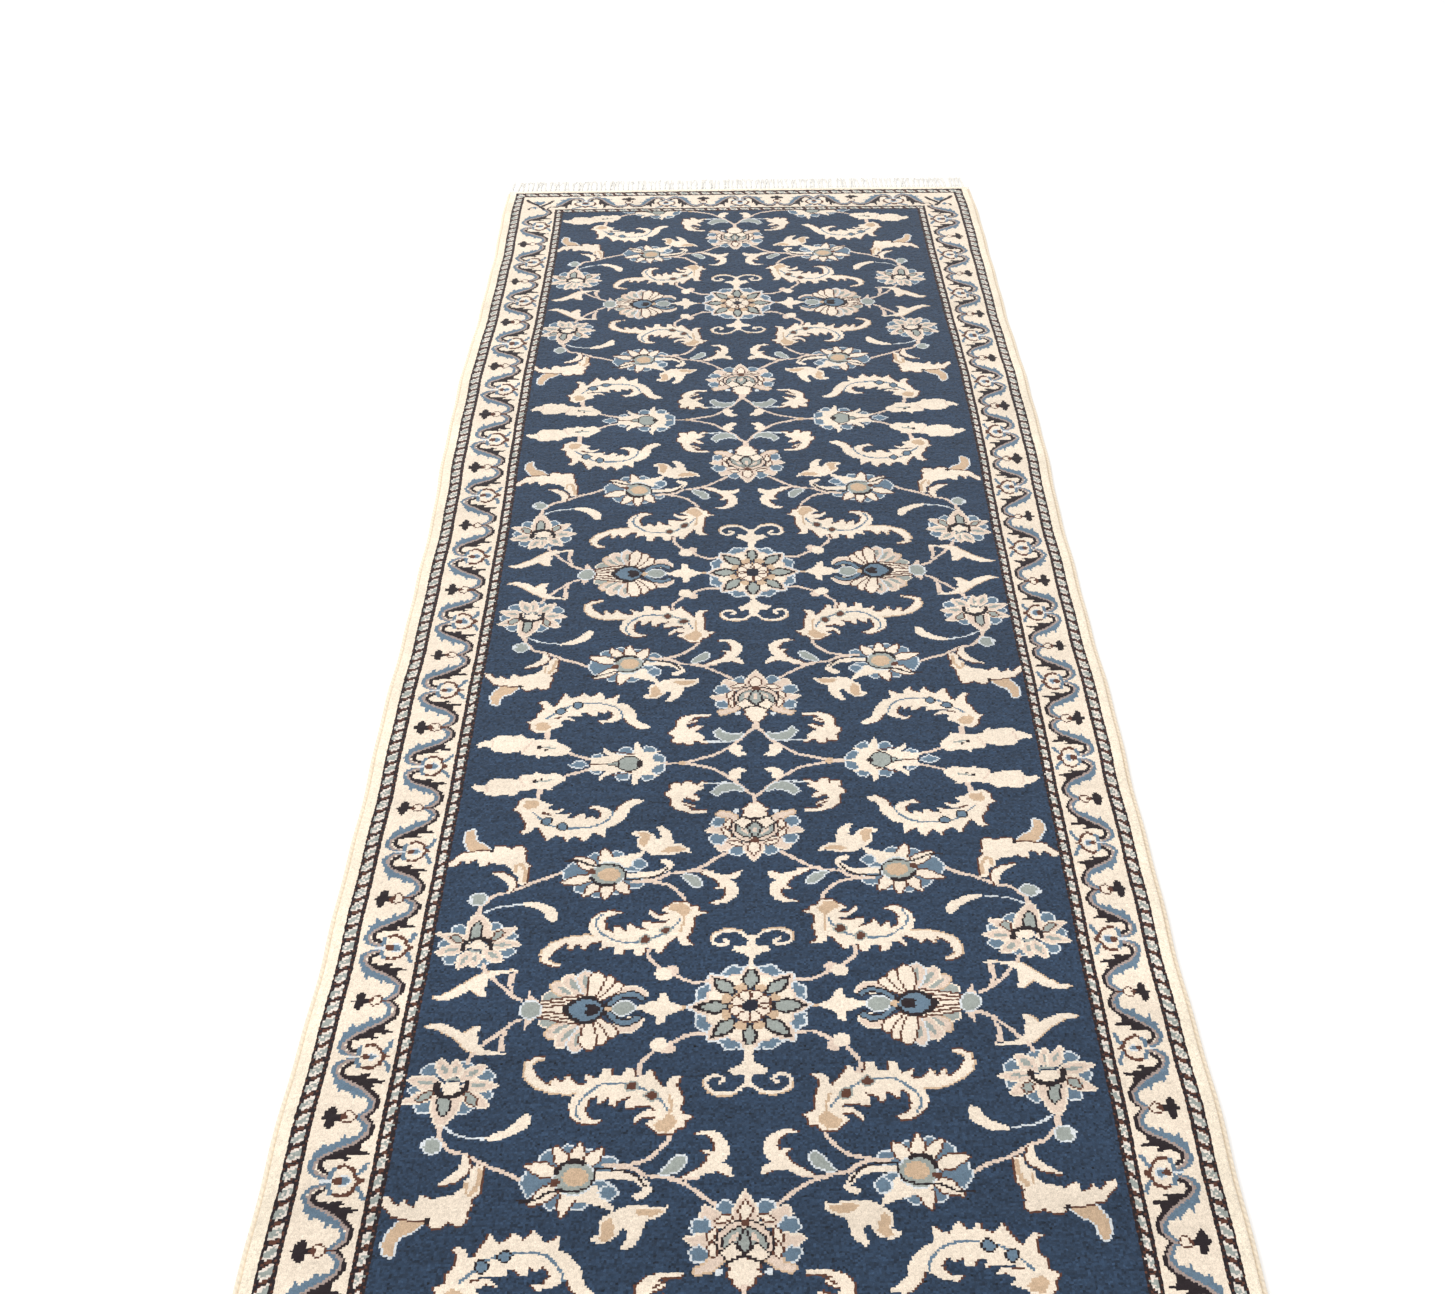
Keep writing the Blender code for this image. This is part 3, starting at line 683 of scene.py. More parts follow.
def border_flower(c):
    m = BORDER_REACH
    c.line([(m, 1.7), (m, 2.6)], 0.2, PALE)
    c.line([(m - 0.35, 2.4), (m - 0.75, 2.5), (m - 1.15, 2.6)], 0.42, BLUE)
    c.line([(m - 1.35, 3.0), (m - 1.5, 3.4), (m - 1.3, 3.95), (m - 0.95, 4.35), (m - 0.5, 4.5),
            (m - 0.15, 4.75)], 0.36, BROWN)
    c.disc((m, 4.9), 0.32, BROWN)
    c.line([(m - 0.75, 4.75), (m - 1.2, 5.05), (m - 1.75, 5.25)], 0.42, BLUE)
    c.disc((m, 3.6), 0.42, BLUE, PALE)
    c.disc((m, 3.1), 0.4, BROWN)


def draw_border(a, b, with_spade):
    c = Plan(a, b, IVORY)
    vine(c)
    border_flower(c)
    if with_spade:
        spade(c)
    return c.dye


def draw_corner(p, q):
    """The square where side and end meet, p and q outwards from its inner corner."""
    c = Plan(p, q, IVORY)
    c.fill([(2.7, 1.9), (1.9, 3.1), (2.1, 3.8), (2.8, 3.4), (3.4, 3.9), (3.9, 3.4)], BLUE)
    c.line([(1.6, -0.3), (2.1, 0.5), (2.6, 1.2), (3.4, 2.3), (4.3, 3.2), (5.0, 4.1)], 0.6, INK)
    c.line([(2.5, 1.2), (1.9, 2.1), (1.2, 2.9), (0.7, 3.7)], 0.6, INK)
    c.line([(2.9, 1.2), (3.7, 2.1), (4.6, 2.9), (5.3, 3.8)], 0.22, PINK)
    c.line([(-0.2, 0.9), (0.7, 1.2), (1.3, 0.5), (1.1, -0.3)], 0.24, INK)
    c.line([(4.3, -0.2), (4.5, 0.4), (4.1, 0.9)], 0.4, INK)
    c.fill([(3.4, 0.2), (4.0, 0.9), (3.6, 1.5), (3.0, 0.9)], BLUE)
    return c.dye


# ---- the whole knot plan ----

def wobble(x, y, seed):
    """A slow wander in centimetres, as a hand-knotted outline has."""
    random = np.random.default_rng(seed)
    total = np.zeros(np.broadcast(x, y).shape)
    for wave in WANDER_WAVES:
        turn, phase = random.uniform(0, 2 * math.pi, 2)
        total = total + np.sin(2 * math.pi * (x * math.cos(turn) + y * math.sin(turn)) / wave + phase)
    return total * WANDER / 2


def knot_centres():
    x = (np.arange(KNOTS_ACROSS) + 0.5) / KNOTS_ACROSS * 2 - 1
    y = (np.arange(2 * KNOTS_HALF_LENGTH) + 0.5) / KNOTS_HALF_LENGTH - 1
    return x * KNOTTED_HALF, y * KNOTTED_END


def centre_bow(x, y):
    """The field's slip to the left, in centimetres: most at the ends, least along the left side."""
    along = SLIP_MEAN - SLIP_SWING * np.cos(math.pi * np.clip(y - SLIP_MIDDLE, -1, 1))
    return along * (1 - SLIP_EASE * np.clip(-x / FIELD_HALF, 0, 1))


def plan_field(plan, x, y):
    """Every half repeat, from a medallion to a mid-line, on both sides of the centre line."""
    for medallion in MEDALLIONS:
        for mid in MID_LINES:
            if abs(mid - medallion) > LONGEST_HALF_REPEAT:
                continue
            rows = np.flatnonzero((y - medallion) * (y - mid) < 0)[::1 if mid > medallion else -1]
            for side in (-1, 1):
                cols = np.flatnonzero((x * side > -CENTRE_OVERLAP) & (abs(x) < FIELD_HALF))[::side]
                wide, along = np.meshgrid(x[cols], y[rows])
                across = side * (wide * CM + centre_bow(wide, along))
                v = REPEAT_LOW + (REPEAT_HIGH - REPEAT_LOW) * (along - medallion) / (mid - medallion)
                spot = (side * across, along * CM)
                u = across + CENTRE_SHIFT + CENTRE_LEAN * v + wobble(*spot, FIELD_ACROSS)
                drawn = draw_field(u, v + wobble(*spot, FIELD_ALONG))
                place = np.ix_(rows, cols)
                plan[place] = np.where(across > 0, drawn, plan[place])


def along_border(t, spades):
    """How far each place is from the nearest spade, as drawn, and whether that spade is there."""
    marks = np.concatenate(([spades[0] - CORNER_GAP], spades, [spades[-1] + CORNER_GAP]))
    before = np.clip(np.searchsorted(marks, t) - 1, 0, len(marks) - 2)
    part = (t - marks[before]) / (marks[before + 1] - marks[before])
    nearest = np.where(part < 0.5, before, before + 1)
    return np.minimum(part, 1 - part) * 2 * BORDER_REACH, (nearest > 0) & (nearest < len(marks) - 1)


def plan_border(plan, x, y):
    """The main border's four runs and its corner squares."""
    side, end = abs(x) - FIELD_HALF, abs(y) - FIELD_END
    band_x = np.flatnonzero((side > GUARD_LIMIT) & (side <= BORDER_LIMIT))
    band_y = np.flatnonzero((end > GUARD_LIMIT) & (end <= BORDER_LIMIT))
    run_x, run_y = np.flatnonzero(side <= GUARD_LIMIT), np.flatnonzero(end <= GUARD_LIMIT)
    for sign in (-1, 1):
        cols, rows = band_x[x[band_x] * sign > 0], band_y[y[band_y] * sign > 0]
        stretch, shift = SPADE_PLACES[sign]
        runs = (((run_y, cols), y[run_y][:, None], side[cols][None, :], SIDE_SPADES * stretch + shift),
                ((rows, run_x), x[run_x][None, :], end[rows][:, None], END_SPADES))
        for place, t, out, spades in runs:
            t, b = np.broadcast_arrays(t, (BORDER_LIMIT - out) * CM)
            a, stands = along_border(t, spades)
            a, b = a + wobble(CM * t, b, BORDER_ALONG), b + wobble(CM * t, b, BORDER_ACROSS)
            plan[np.ix_(*place)] = np.where(stands, draw_border(a, b, True), draw_border(a, b, False))
        for other in (-1, 1):
            rows = band_y[y[band_y] * other > 0]
            p, q = np.meshgrid(side[cols] - GUARD_LIMIT, end[rows] - GUARD_LIMIT)
            plan[np.ix_(rows, cols)] = draw_corner(p * CM, q * CM)


def guard(t, b, slant, width):
    """A rope stripe: brown bars on the slant, grey lozenges between, and a dark line on each side."""
    phase = np.mod(t - BAR_SLANT * slant, BAR_PITCH) / BAR_PITCH
    off_middle = abs(phase - (1 + BAR_SHARE) / 2)
    # single knots stray from the drawing: every third, sixth or eleventh, counted askew over the stripe
    knot = np.floor(t / KNOT) * 7 + np.floor(b / KNOT) * 3
    core = LOZENGE_CORE + LOZENGE_RAGGED * np.mod(knot, 3)
    dye = np.where((off_middle < core) & (np.mod(knot, 11) > 1), SAGE, OAT)
    dye = np.where(phase < BAR_SHARE, np.where(np.mod(knot, 3) < 1, INK, BROWN), dye)
    line = LINE_WIDTH + LINE_SWELL * off_middle
    return np.where((b < line) | (b > width - line), np.where(np.mod(knot, 6) < 1, BROWN, INK), dye)


def plan_guards(plan, x, y):
    wide, long = np.meshgrid(x * CM, y * CM)
    side, end = abs(wide) - FIELD_HALF * CM, abs(long) - FIELD_END * CM
    ring = np.maximum(side, end)
    t = np.where(side > end, long, wide) + wobble(wide, long, GUARD_ALONG)
    slant = -np.where(side > end, abs(wide), abs(long))
    for low, high in ((0, GUARD_LIMIT * CM), (BORDER_LIMIT * CM, OUTER_LIMIT * CM)):
        here = (ring > low) & (ring <= high)
        plan[here] = guard(t, ring - low, slant, high - low)[here]


def plan_rug():
    """The dye of every knot, in rows from the near end."""
    x, y = knot_centres()
    plan = np.full((len(y), len(x)), CREAM, np.uint8)
    plan_field(plan, x, y)
    plan_border(plan, x, y)
    plan_guards(plan, x, y)
    return plan


# ---- how the rug lies ----

def lie(points):
    """Where each point of the flat rug lies: it bows a little, and its sides and ends wander."""
    x, y, z = points.T
    width = SPREAD + BULGE * np.exp(-(((y - BULGE_PLACE) / BULGE_REACH) ** 2))
    narrow = np.clip((x - FIELD_HALF) / OUTER_LIMIT, 0, 1) * np.clip((NARROW_END - y) / NARROW_REACH, 0, 1)
    wander = sum(reach * np.sin(rate * y + phase) for reach, rate, phase in SIDE_WAVES)
    bow = BOW * np.clip(y - BOW_START, 0, None) ** 2
    reach, rate, phase = END_WAVE
    ends = reach * np.sin(rate * x + phase) * (abs(y) / KNOTTED_END) ** 8
    across = x * width + np.sign(x) * wander * (x / RUG_HALF) ** 4 + bow - NARROWING * narrow
    return np.stack((across, y + SKEW * x + ends, z), axis=1)


# ---- meshes ----

def link(piece):
    bpy.context.scene.collection.objects.link(piece)
    return piece


def mesh_object(name, points, faces, material, dye=None, walls=()):
    """An object of quads and longer walls, laid as the rug lies; dye is a colour for each face."""
    points = lie(np.asarray(points, float).reshape(-1, 3))
    faces = np.asarray(faces, np.int32).reshape(-1, 4)
    mesh = bpy.data.meshes.new(name)
    mesh.vertices.add(len(points))
    mesh.vertices.foreach_set("co", points.astype(np.float32).ravel())
    sizes = [4] * len(faces) + [len(wall) for wall in walls]
    corners = np.concatenate((faces.ravel(), *walls)).astype(np.int32)
    mesh.loops.add(len(corners))
    mesh.loops.foreach_set("vertex_index", corners)
    mesh.polygons.add(len(sizes))
    mesh.polygons.foreach_set("loop_start", np.cumsum([0, *sizes[:-1]], dtype=np.int32))
    mesh.update(calc_edges=True)
    mesh.shade_smooth()
    if dye is not None:
        flat = np.asarray(dye, np.float32).reshape(-1, 3)
        layer = mesh.attributes.new("dye", "FLOAT_COLOR", "FACE")
        layer.data.foreach_set("color", np.concatenate((flat, np.ones_like(flat[:, :1])), axis=1).ravel())
    mesh.materials.append(material)
    return link(bpy.data.objects.new(name, mesh))


def grid_faces(rows, cols, loop=False):
    """Quads over a grid of points, facing up where x runs along a row; loop joins its two sides."""
    r, c = np.meshgrid(np.arange(rows - 1), np.arange(cols if loop else cols - 1), indexing="ij")
    n = (c + 1) % cols
    return np.stack((r * cols + c, r * cols + n, (r + 1) * cols + n, (r + 1) * cols + c), -1).reshape(-1, 4)


def linear(colour):
    c = np.asarray(colour, float) / 255
    return np.where(c <= 0.04045, c / 12.92, ((c + 0.055) / 1.055) ** 2.4)


def dye_colours(plan):
    """Every knot's own colour: dye lots change in bands, and each knot is a shade of its own."""
    rows, cols = plan.shape
    lots = np.interp(np.arange(rows), np.arange(0, rows + LOT_ROWS, LOT_ROWS),
                     RANDOM.normal(1, LOT_SPREAD, rows // LOT_ROWS + 2))
    runs = np.repeat(RANDOM.normal(0, RUN_SPREAD, (rows, -(-cols // RUN))), RUN, axis=1)[:, :cols]
    grain = runs + KNOT_SPREAD * RANDOM.normal(0, 1, plan.shape)
    shade = lots[:, None] * (1 + np.where(plan == NAVY, 1.0, PALE_SHARE) * grain)
    return linear(list(DYES.values()))[plan] * shade[..., None]


def pile_heights(plan):
    """The height of every knot's corners: tufts of uneven length, parted where the dye changes."""
    padded = np.pad(plan, 1, mode="edge")
    corners = np.stack((padded[:-1, :-1], padded[:-1, 1:], padded[1:, :-1], padded[1:, 1:]))
    parted = corners.min(0) != corners.max(0)
    return PILE_TOP - TUFT_SINK + RANDOM.normal(0, TUFT_SPREAD, parted.shape) - PARTING * parted


def make_pile(plan, material):
    """The pile in full-width strips, rounded over at the rug's own edges."""
    colours, heights = dye_colours(plan), pile_heights(plan)
    x = np.linspace(-KNOTTED_HALF, KNOTTED_HALF, KNOTS_ACROSS + 1)
    y = np.linspace(-KNOTTED_END, KNOTTED_END, 2 * KNOTS_HALF_LENGTH + 1)
    x = np.concatenate((x[:1], x[:1] - OVERHANG, x, x[-1:] + OVERHANG, x[-1:]))
    y = np.concatenate((y[:1], y[:1] - OVERHANG, y, y[-1:] + OVERHANG, y[-1:]))
    heights = np.pad(heights, 2, mode="edge")
    fall = (WEAVE_TOP - TUFT_SINK, 0.5 * (WEAVE_TOP + PILE_TOP), PILE_TOP - OVERHANG)
    for k, z in enumerate(fall):
        for edge in (heights[k], heights[-1 - k], heights[:, k], heights[:, -1 - k]):
            edge[:] = np.minimum(edge, z)
    colours = np.pad(colours, ((2, 2), (2, 2), (0, 0)), mode="edge")
    points = np.stack((*np.meshgrid(x, y), heights), axis=-1)
    inner = points[3:-3, 3:-3, :2]
    inner += np.clip(RANDOM.normal(0, JITTER, inner.shape), -2 * JITTER, 2 * JITTER)
    cuts = np.round(np.linspace(0, len(y) - 1, 2 * STRIPS_PER_HALF + 1)).astype(int)
    strips = []
    for k, (low, high) in enumerate(zip(cuts[:-1], cuts[1:])):
        part = points[low:high + 1]
        strips.append(mesh_object(f"knotted_pile_{k + 1}", part, grid_faces(*part.shape[:2]), material,
                                  colours[low:high]))
    return strips


def make_back(plan, material):
    """The woven base, with the knots' backs below: one closed sheet under the whole pile."""
    colours = dye_colours(plan)[::BACK_KNOTS, ::BACK_KNOTS]
    rows, cols = colours.shape[0] + 1, colours.shape[1] + 1
    x = np.linspace(-KNOTTED_HALF - WALL, KNOTTED_HALF + WALL, cols)
    y = np.linspace(-KNOTTED_END - WALL, KNOTTED_END + WALL, rows)
    wide, long = np.meshgrid(x, y)
    low = BACK_LOW + abs(RANDOM.normal(0, BACK_SPREAD, wide.shape))
    low[[0, -1]], low[:, [0, -1]] = BACK_RIM, BACK_RIM
    below = np.stack((wide, long, low), axis=-1).reshape(-1, 3)
    # the top is hidden under the pile: one plank a row, between the two sides
    left = np.arange(rows) * cols
    right = left + cols - 1
    top = below[np.stack((left, right), axis=1).ravel()]
    top[:, 2] = WEAVE_TOP
    top_left = len(below) + 2 * np.arange(rows)
    top_right = top_left + 1
    planks = np.stack((top_left[:-1], top_right[:-1], top_right[1:], top_left[1:]), axis=1)
    side_l = np.stack((left[:-1], top_left[:-1], top_left[1:], left[1:]), axis=1)
    side_r = np.stack((right[:-1], right[1:], top_right[1:], top_right[:-1]), axis=1)
    under = grid_faces(rows, cols)[:, ::-1]
    faces = np.concatenate((under, planks, side_l, side_r))
    near, far = np.arange(cols), np.arange(cols) + (rows - 1) * cols
    walls = (np.concatenate((near, (top_right[0], top_left[0]))),
             np.concatenate((far[::-1], (top_left[-1], top_right[-1]))))
    plain = np.tile(linear(WEFT), (len(faces) - len(under) + len(walls), 1))
    return mesh_object("woven_base", np.concatenate((below, top)), faces, material,
                       np.concatenate((colours.reshape(-1, 3), plain)), walls)


def make_tube(name, path_y, centre, radius, sides, material):
    """A cord along y: radius is a function of the place along and the angle round."""
    y, a = np.meshgrid(path_y, np.linspace(0, 2 * math.pi, sides, endpoint=False), indexing="ij")
    r = radius(y, a)
    points = np.stack((centre[0] + r * np.cos(a), y, np.maximum(centre[1] + r * np.sin(a), 0)), axis=-1)
    return mesh_object(name, points, grid_faces(*y.shape, loop=True), material)


def make_selvedges(yarn, core):
    """The bound sides: a warp cord, and cream yarn wound round it in slanting turns."""
    pieces = []
    turns_y = np.arange(-KNOTTED_END, KNOTTED_END, TURN / 3)
    cord_y = np.linspace(-KILIM_END, KILIM_END, 900)
    for side, sign in (("left", -1), ("right", 1)):
        low, high = SIZES[f"selvedge_wrap_{side}_far"]
        centre = (0.5 * (low.x + high.x), 0.5 * (low.z + high.z))
        wrap_r = 0.5 * (high.z - low.z) - 0.0002
        core_r = SIZES[f"selvedge_core_{side}_far"][1].z - centre[1]

        def wrap(y, a):
            return wrap_r + TURN_DEPTH * np.cos(2 * math.pi * y / TURN - sign * a)

        def core_ply(y, a):
            return core_r + PLY_DEPTH * np.cos(3 * a + PLY_TWIST * y)

        pieces.append(make_tube(f"selvedge_binding_{side}", turns_y, centre, wrap, 14, yarn))
        pieces.append(make_tube(f"selvedge_cord_{side}", cord_y, centre, core_ply, 12, core))
    return pieces


def make_kilim(half, sign, material):
    """A flat-woven end: fine ribs over the warps, and rows of weft beaten down between them."""
    cols, rows = 801, 21
    x = np.linspace(-RUG_HALF, RUG_HALF, cols)
    y = np.linspace(KNOTTED_END + WALL, KILIM_END, rows)
    wide, long = np.meshgrid(x, y * sign)
    rib = RIB_DEPTH * abs(np.cos(math.pi * wide / RIB_PITCH))
    rib = rib + WEFT_DEPTH * np.cos(math.pi * np.arange(rows))[:, None]
    top = KILIM_TOP - KILIM_SINK + rib + RANDOM.normal(0, KILIM_GRAIN, wide.shape)
    low = np.full(wide.shape, KILIM_LOW)
    for face, rim_z in zip((low, top), KILIM_RIM):
        face[[0, -1]], face[:, [0, -1]] = rim_z, rim_z
    upper, lower = (np.stack((wide, long, z), axis=-1)[::sign].reshape(-1, 3) for z in (top, low))
    faces = grid_faces(rows, cols)
    n = rows * cols
    ring = np.concatenate((np.arange(cols), np.arange(1, rows) * cols + cols - 1,
                           n - 2 - np.arange(cols - 1), np.arange(rows - 2, 0, -1) * cols))
    after = np.roll(ring, -1)
    rim = np.stack((ring + n, after + n, after, ring), axis=1)
    return mesh_object(f"kilim_weave_{half}", np.concatenate((upper, lower)),
                       np.concatenate((faces, faces[:, ::-1] + n, rim)), material)


def strand(path, radii, flat, sign, first):
    """One yarn of the fringe: its points, and its faces numbered from first."""
    around = np.linspace(0, 2 * math.pi, 7, endpoint=False)
    ring = np.stack((np.cos(around), 0 * around, flat * np.sin(around)), axis=1)
    body = path[:, None, :] + radii[:, None, None] * ring[None]
    body[..., 2] = np.maximum(body[..., 2], 0.0001)
    return body.reshape(-1, 3), grid_faces(len(path), len(around), loop=True)[:, ::-sign] + first


def tassel(x, sign):
    """The yarns of one tassel, as (path, radii, flatness): the neck with its knot, then the strands."""
    lean = RANDOM.normal(0, TASSEL_LEAN)
    knot_y = KILIM_END + RANDOM.normal(KNOT_PLACE, KNOT_STRAY)
    t = np.linspace(0, 1, 11)
    neck = np.stack((x + lean * t, KILIM_END - 0.002 + (knot_y + 0.005 - KILIM_END) * t,
                     np.full_like(t, YARN_HEIGHT)), axis=1)
    swell = NECK_RADIUS + KNOT_SWELL * np.exp(-(((neck[:, 1] - knot_y) / KNOT_LENGTH) ** 2))
    yarns = [(neck * (1, sign, 1), swell, 0.8)]
    t = np.linspace(0, 1, 9)
    for _ in range(STRANDS):
        reach = FRINGE_END - RANDOM.uniform(0, 0.005)
        drift, curl = RANDOM.normal(0, STRAND_STRAY), RANDOM.normal(0, STRAND_CURL)
        phase = RANDOM.uniform(0, 6.3)
        path = np.stack((
            x + lean + RANDOM.normal(0, 0.0007) + drift * t ** 1.5 + curl * np.sin(6 * t + phase) * t,
            knot_y + (reach - knot_y) * t,
            YARN_HEIGHT - 0.0009 * t + RANDOM.normal(0, 0.0002)), axis=1)
        yarns.append((path * (1, sign, 1), STRAND_RADIUS * (1 - 0.25 * t), 0.9))
    return yarns


def make_fringe(half, sign, material):
    """Warp ends knotted into tassels, each a flat neck, a knot and loose strands."""
    low, high = SIZES["fringe_far"]
    count = int(round((high.x - low.x) / TASSEL_PITCH))
    inset = 0.5 * TASSEL_PITCH
    points, faces, total = [], [], 0
    for x in low.x + inset + (np.arange(count) + 0.5) * (high.x - low.x - 2 * inset) / count:
        for path, radii, flat in tassel(x, sign):
            body, sides = strand(path, radii, flat, sign, total)
            points.append(body)
            faces.append(sides)
            total += len(body)
    return mesh_object(f"tasselled_fringe_{half}", np.concatenate(points), np.concatenate(faces), material)


# ---- materials ----

def new_material(name, roughness, sheen):
    """A Principled material; gives it, its nodes and its surface shader."""
    material = bpy.data.materials.new(name)
    material.use_nodes = True
    skin = material.node_tree.nodes["Principled BSDF"]
    skin.inputs["Roughness"].default_value = roughness
    skin.inputs["Sheen Weight"].default_value = sheen
    skin.inputs["Sheen Roughness"].default_value = 0.45
    skin.inputs["Specular IOR Level"].default_value = 0.25
    return material, material.node_tree, skin


def add(tree, kind, inputs, **settings):
    """A node with its settings; each input is a socket to join or a value."""
    node = tree.nodes.new(kind)
    for key, value in settings.items():
        setattr(node, key, value)
    for key, value in inputs.items():
        if isinstance(value, bpy.types.NodeSocket):
            tree.links.new(value, node.inputs[key])
        else:
            node.inputs[key].default_value = value
    return node


def place(tree, scale=(1, 1, 1)):
    """The rug's own coordinates, stretched."""
    spot = add(tree, "ShaderNodeTexCoord", {}).outputs["Object"]
    return add(tree, "ShaderNodeMapping", {"Vector": spot, "Scale": scale}).outputs["Vector"]


def noise(tree, where, scale, detail=3.0):
    cloud = add(tree, "ShaderNodeTexNoise", {"Vector": where, "Scale": scale, "Detail": detail})
    return cloud.outputs["Fac"]


def spread(tree, value, low, high, start=0.3, stop=0.7):
    """A value from start to stop, turned into one from low to high."""
    return add(tree, "ShaderNodeMapRange", {"Value": value, "From Min": start, "From Max": stop,
                                            "To Min": low, "To Max": high}).outputs["Result"]


def worked(tree, kind, first, second):
    """Two values added or multiplied."""
    return add(tree, "ShaderNodeMath", {0: first, 1: second}, operation=kind).outputs["Value"]


def shaded(tree, colour, amount):
    """A colour made lighter or darker by an amount."""
    return add(tree, "ShaderNodeVectorMath", {0: colour, 1: amount}, operation="MULTIPLY").outputs["Vector"]


def dress(tree, skin, colour, roughness, height, strength, distance):
    """Give the surface its colour, its roughness and its bumps."""
    tree.links.new(colour, skin.inputs["Base Color"])
    tree.links.new(roughness, skin.inputs["Roughness"])
    bump = add(tree, "ShaderNodeBump", {"Height": height, "Strength": strength, "Distance": distance})
    tree.links.new(bump.outputs["Normal"], skin.inputs["Normal"])


def wool_material():
    """Cut wool pile: fibre ends within each knot, and soft clouds where the nap turns."""
    material, tree, skin = new_material("knotted_wool", 0.9, 0.22)
    dye = add(tree, "ShaderNodeAttribute", {}, attribute_name="dye").outputs["Color"]
    fibres = noise(tree, place(tree, (1, 0.55, 1)), 1500, 2)
    clouds = noise(tree, place(tree, (1, 2.2, 1)), 9, 3)
    tone = worked(tree, "MULTIPLY", spread(tree, fibres, 0.80, 1.18), spread(tree, clouds, 0.93, 1.07))
    dress(tree, skin, shaded(tree, dye, tone), spread(tree, fibres, 0.8, 0.98), fibres, 0.5, 0.0006)
    return material


def back_material():
    """The knots' backs: rows of loops with cotton weft showing between them."""
    material, tree, skin = new_material("knotted_back", 0.85, 0.1)
    dye = add(tree, "ShaderNodeAttribute", {}, attribute_name="dye").outputs["Color"]
    rows, loops = (
        add(tree, "ShaderNodeTexWave", {"Vector": place(tree), "Scale": 157.0, "Distortion": distortion},
            bands_direction=direction).outputs["Fac"] for direction, distortion in (("Y", 0.6), ("X", 0.4)))
    weft = add(tree, "ShaderNodeMix", {"Factor": spread(tree, rows, 0.28, 0.03, 0.0, 0.4), "A": dye,
                                       "B": (*linear(WEFT), 1)}, data_type="RGBA")
    height = worked(tree, "ADD", rows, loops)
    dress(tree, skin, weft.outputs[2], spread(tree, rows, 0.92, 0.8), height, 0.6, 0.0005)
    return material


def cotton_material(name, colour, direction, scale):
    """Spun cotton: plied yarn on the slant, with slubs and a little dust."""
    material, tree, skin = new_material(name, 0.85, 0.15)
    ply = add(tree, "ShaderNodeTexWave", {"Vector": place(tree), "Scale": scale, "Distortion": 1.5,
                                          "Detail": 2.0}, bands_direction=direction).outputs["Fac"]
    slubs = noise(tree, place(tree), 420, 4)
    tone = worked(tree, "MULTIPLY", spread(tree, ply, 0.9, 1.04, 0, 1), spread(tree, slubs, 0.88, 1.08))
    tinted = shaded(tree, (*linear(colour),), tone)
    dress(tree, skin, tinted, spread(tree, slubs, 0.78, 0.95), ply, 0.5, 0.0004)
    return material


# ---- the pieces on their bodies ----

def cross_fold(piece):
    """The piece lies on both halves, and bends at the fold."""
    reach = HINGE_HEIGHT * math.pi / 2
    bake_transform(piece, "near_half", "far_half", start=(0, -reach, 0), end=(0, reach, 0))


def stands_for(piece, kind):
    """The piece shows every node of that kind on its own half or halves."""
    bodies = body_of(piece)
    halves = [body.split("_")[0] for body in bodies]
    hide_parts(*[n for n in frame["nodes"] if n.rsplit("_", 1)[-1] in halves and kind in n])


def settle_strip(k, strip):
    """A strip of pile rides its half, or bends at the fold, and shows the CAD's zones of pile there."""
    half = "near" if k < STRIPS_PER_HALF else "far"
    if k in (STRIPS_PER_HALF - 1, STRIPS_PER_HALF):
        cross_fold(strip)
    else:
        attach(strip, f"{half}_half")
    kinds = ["field_pile", "left", "right"]
    if k in (0, 2 * STRIPS_PER_HALF - 1):
        kinds.append("end")
    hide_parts(*[n for n in frame["nodes"] if n.endswith(half) and "selvedge" not in n
                         and any(kind in n for kind in kinds)])


def settle_side(piece):
    part, side = ("wrap" if "binding" in piece.name else "core"), piece.name.split("_")[-1]
    cross_fold(piece)
    stands_for(piece, f"selvedge_{part}_{side}")


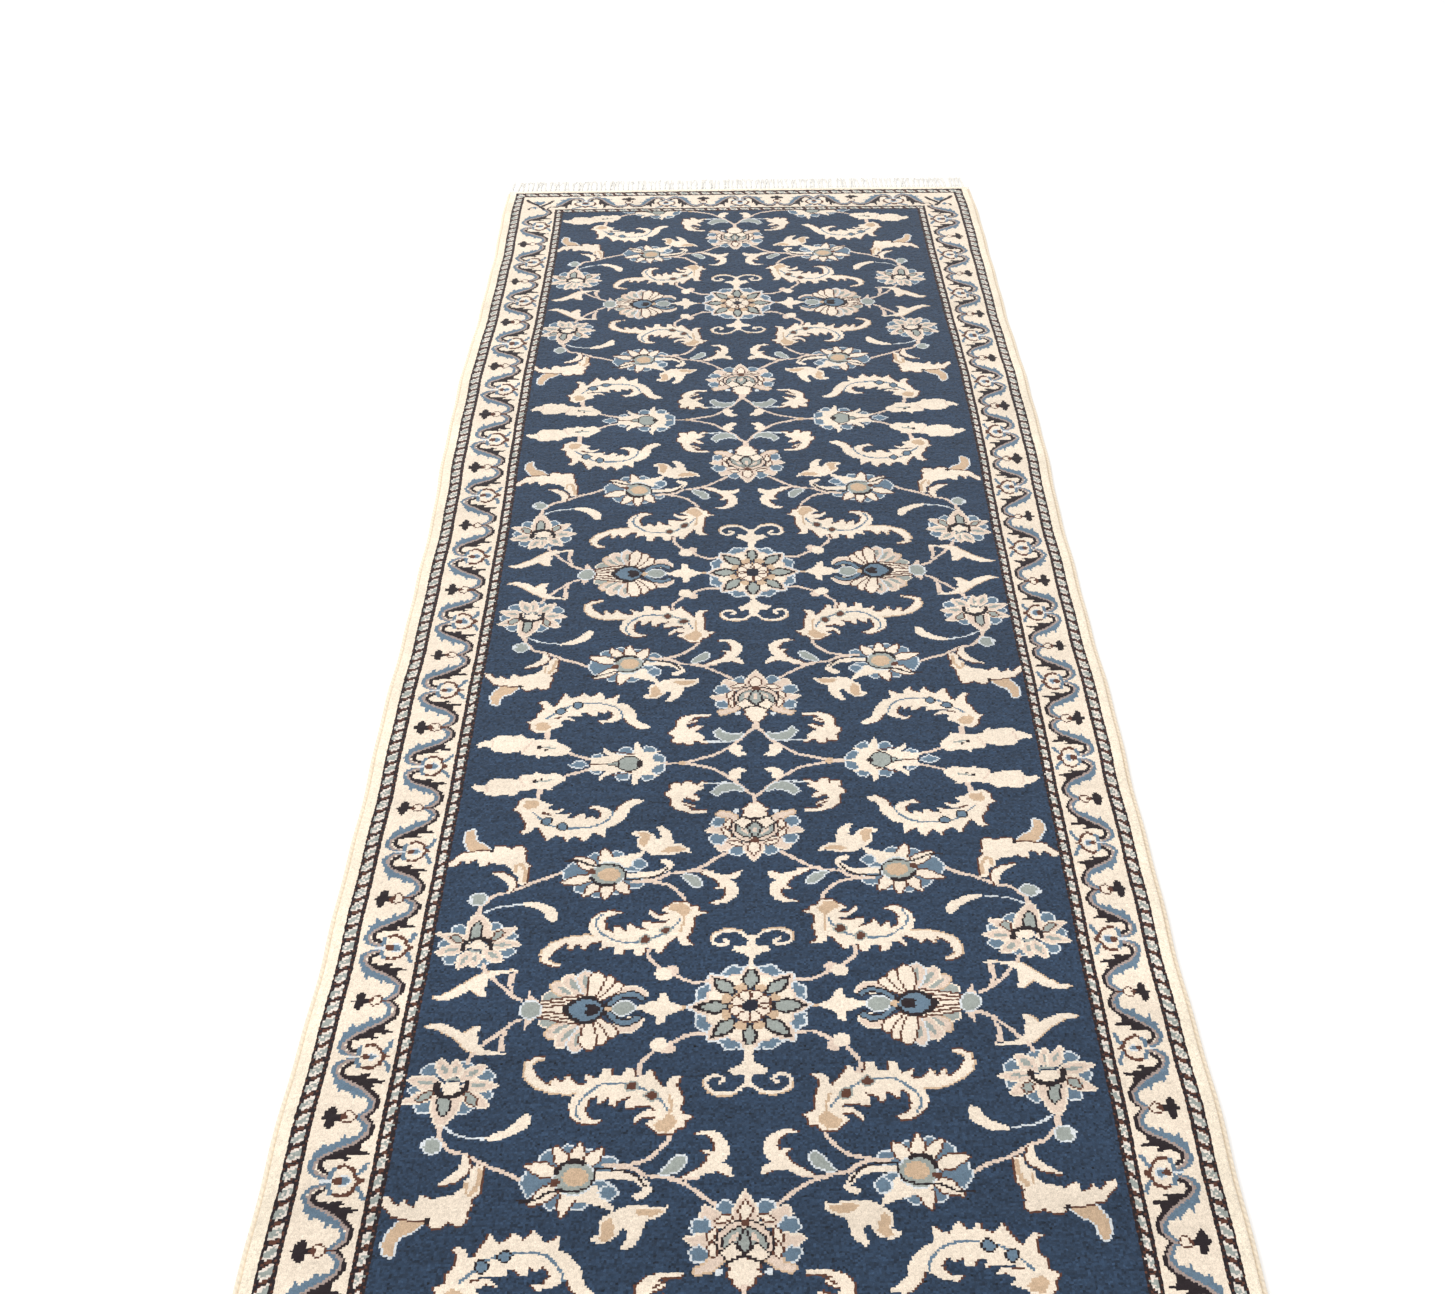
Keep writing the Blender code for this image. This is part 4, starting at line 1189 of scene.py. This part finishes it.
def make_rug():
    plan = plan_rug()
    wool, back = wool_material(), back_material()
    binding = cotton_material("selvedge_yarn", DYES["cream"], "DIAGONAL", 90)
    cotton = cotton_material("warp_cotton_yarn", COTTON, "DIAGONAL", 240)
    weave = cotton_material("kilim_cotton_yarn", COTTON, "Y", 160)
    strips = make_pile(plan, wool)
    base = make_back(plan, back)
    sides = make_selvedges(binding, cotton)
    for k, strip in enumerate(strips):
        settle_strip(k, strip)
    cross_fold(base)
    stands_for(base, "_sheet_")
    for piece in sides:
        settle_side(piece)
    ends = []
    for half, sign in (("near", -1), ("far", 1)):
        for kind, make, material in (("kilim", make_kilim, weave), ("fringe", make_fringe, cotton)):
            piece = make(half, sign, material)
            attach(piece, f"{half}_half")
            stands_for(piece, kind)
            ends.append(piece)
    return base, strips + sides + ends


# ---- the studio ----

def make_floor():
    mesh = bpy.data.meshes.new("studio_floor")
    x = np.linspace(-FLOOR_REACH, FLOOR_REACH, FLOOR_CELLS + 1)
    wide, long = np.meshgrid(x, x)
    points = np.stack((wide, long, 0 * wide), axis=-1).reshape(-1, 3)
    mesh.from_pydata(points.tolist(), [], grid_faces(*wide.shape).tolist())
    material, tree, skin = new_material("pale_floor", 0.8, 0)
    tone = spread(tree, noise(tree, place(tree), 3.0), 0.985, 1.0)
    tree.links.new(shaded(tree, FLOOR_COLOUR, tone), skin.inputs["Base Color"])
    mesh.materials.append(material)
    floor = link(bpy.data.objects.new("studio_floor", mesh))
    return floor


def make_world():
    world = bpy.data.worlds.new("studio")
    world.use_nodes = True
    sky = world.node_tree.nodes["Background"]
    sky.inputs["Color"].default_value = (1, 1, 1, 1)
    sky.inputs["Strength"].default_value = WORLD_STRENGTH
    bpy.context.scene.world = world


def make_key_light():
    lamp = bpy.data.lights.new("key_light", "AREA")
    lamp.shape, lamp.size, lamp.energy = "DISK", KEY_SIZE, KEY_POWER
    light = link(bpy.data.objects.new("key_light", lamp))
    light.location = KEY_PLACE
    light.rotation_euler = (Vector(KEY_TARGET) - Vector(KEY_PLACE)).to_track_quat("-Z", "Y").to_euler()


def make_camera():
    lens = bpy.data.cameras.new("camera")
    lens.lens, lens.sensor_width, lens.shift_x = LENS, SENSOR, LENS_SHIFT
    camera = link(bpy.data.objects.new("camera", lens))
    camera.location = CAMERA_PLACE
    camera.rotation_euler = (math.radians(90 - CAMERA_PITCH), 0, 0)
    bpy.context.scene.camera = camera


bpy.context.scene.view_settings.view_transform = "Standard"
make_world()
make_key_light()
make_camera()
floor = make_floor()
base, others = make_rug()
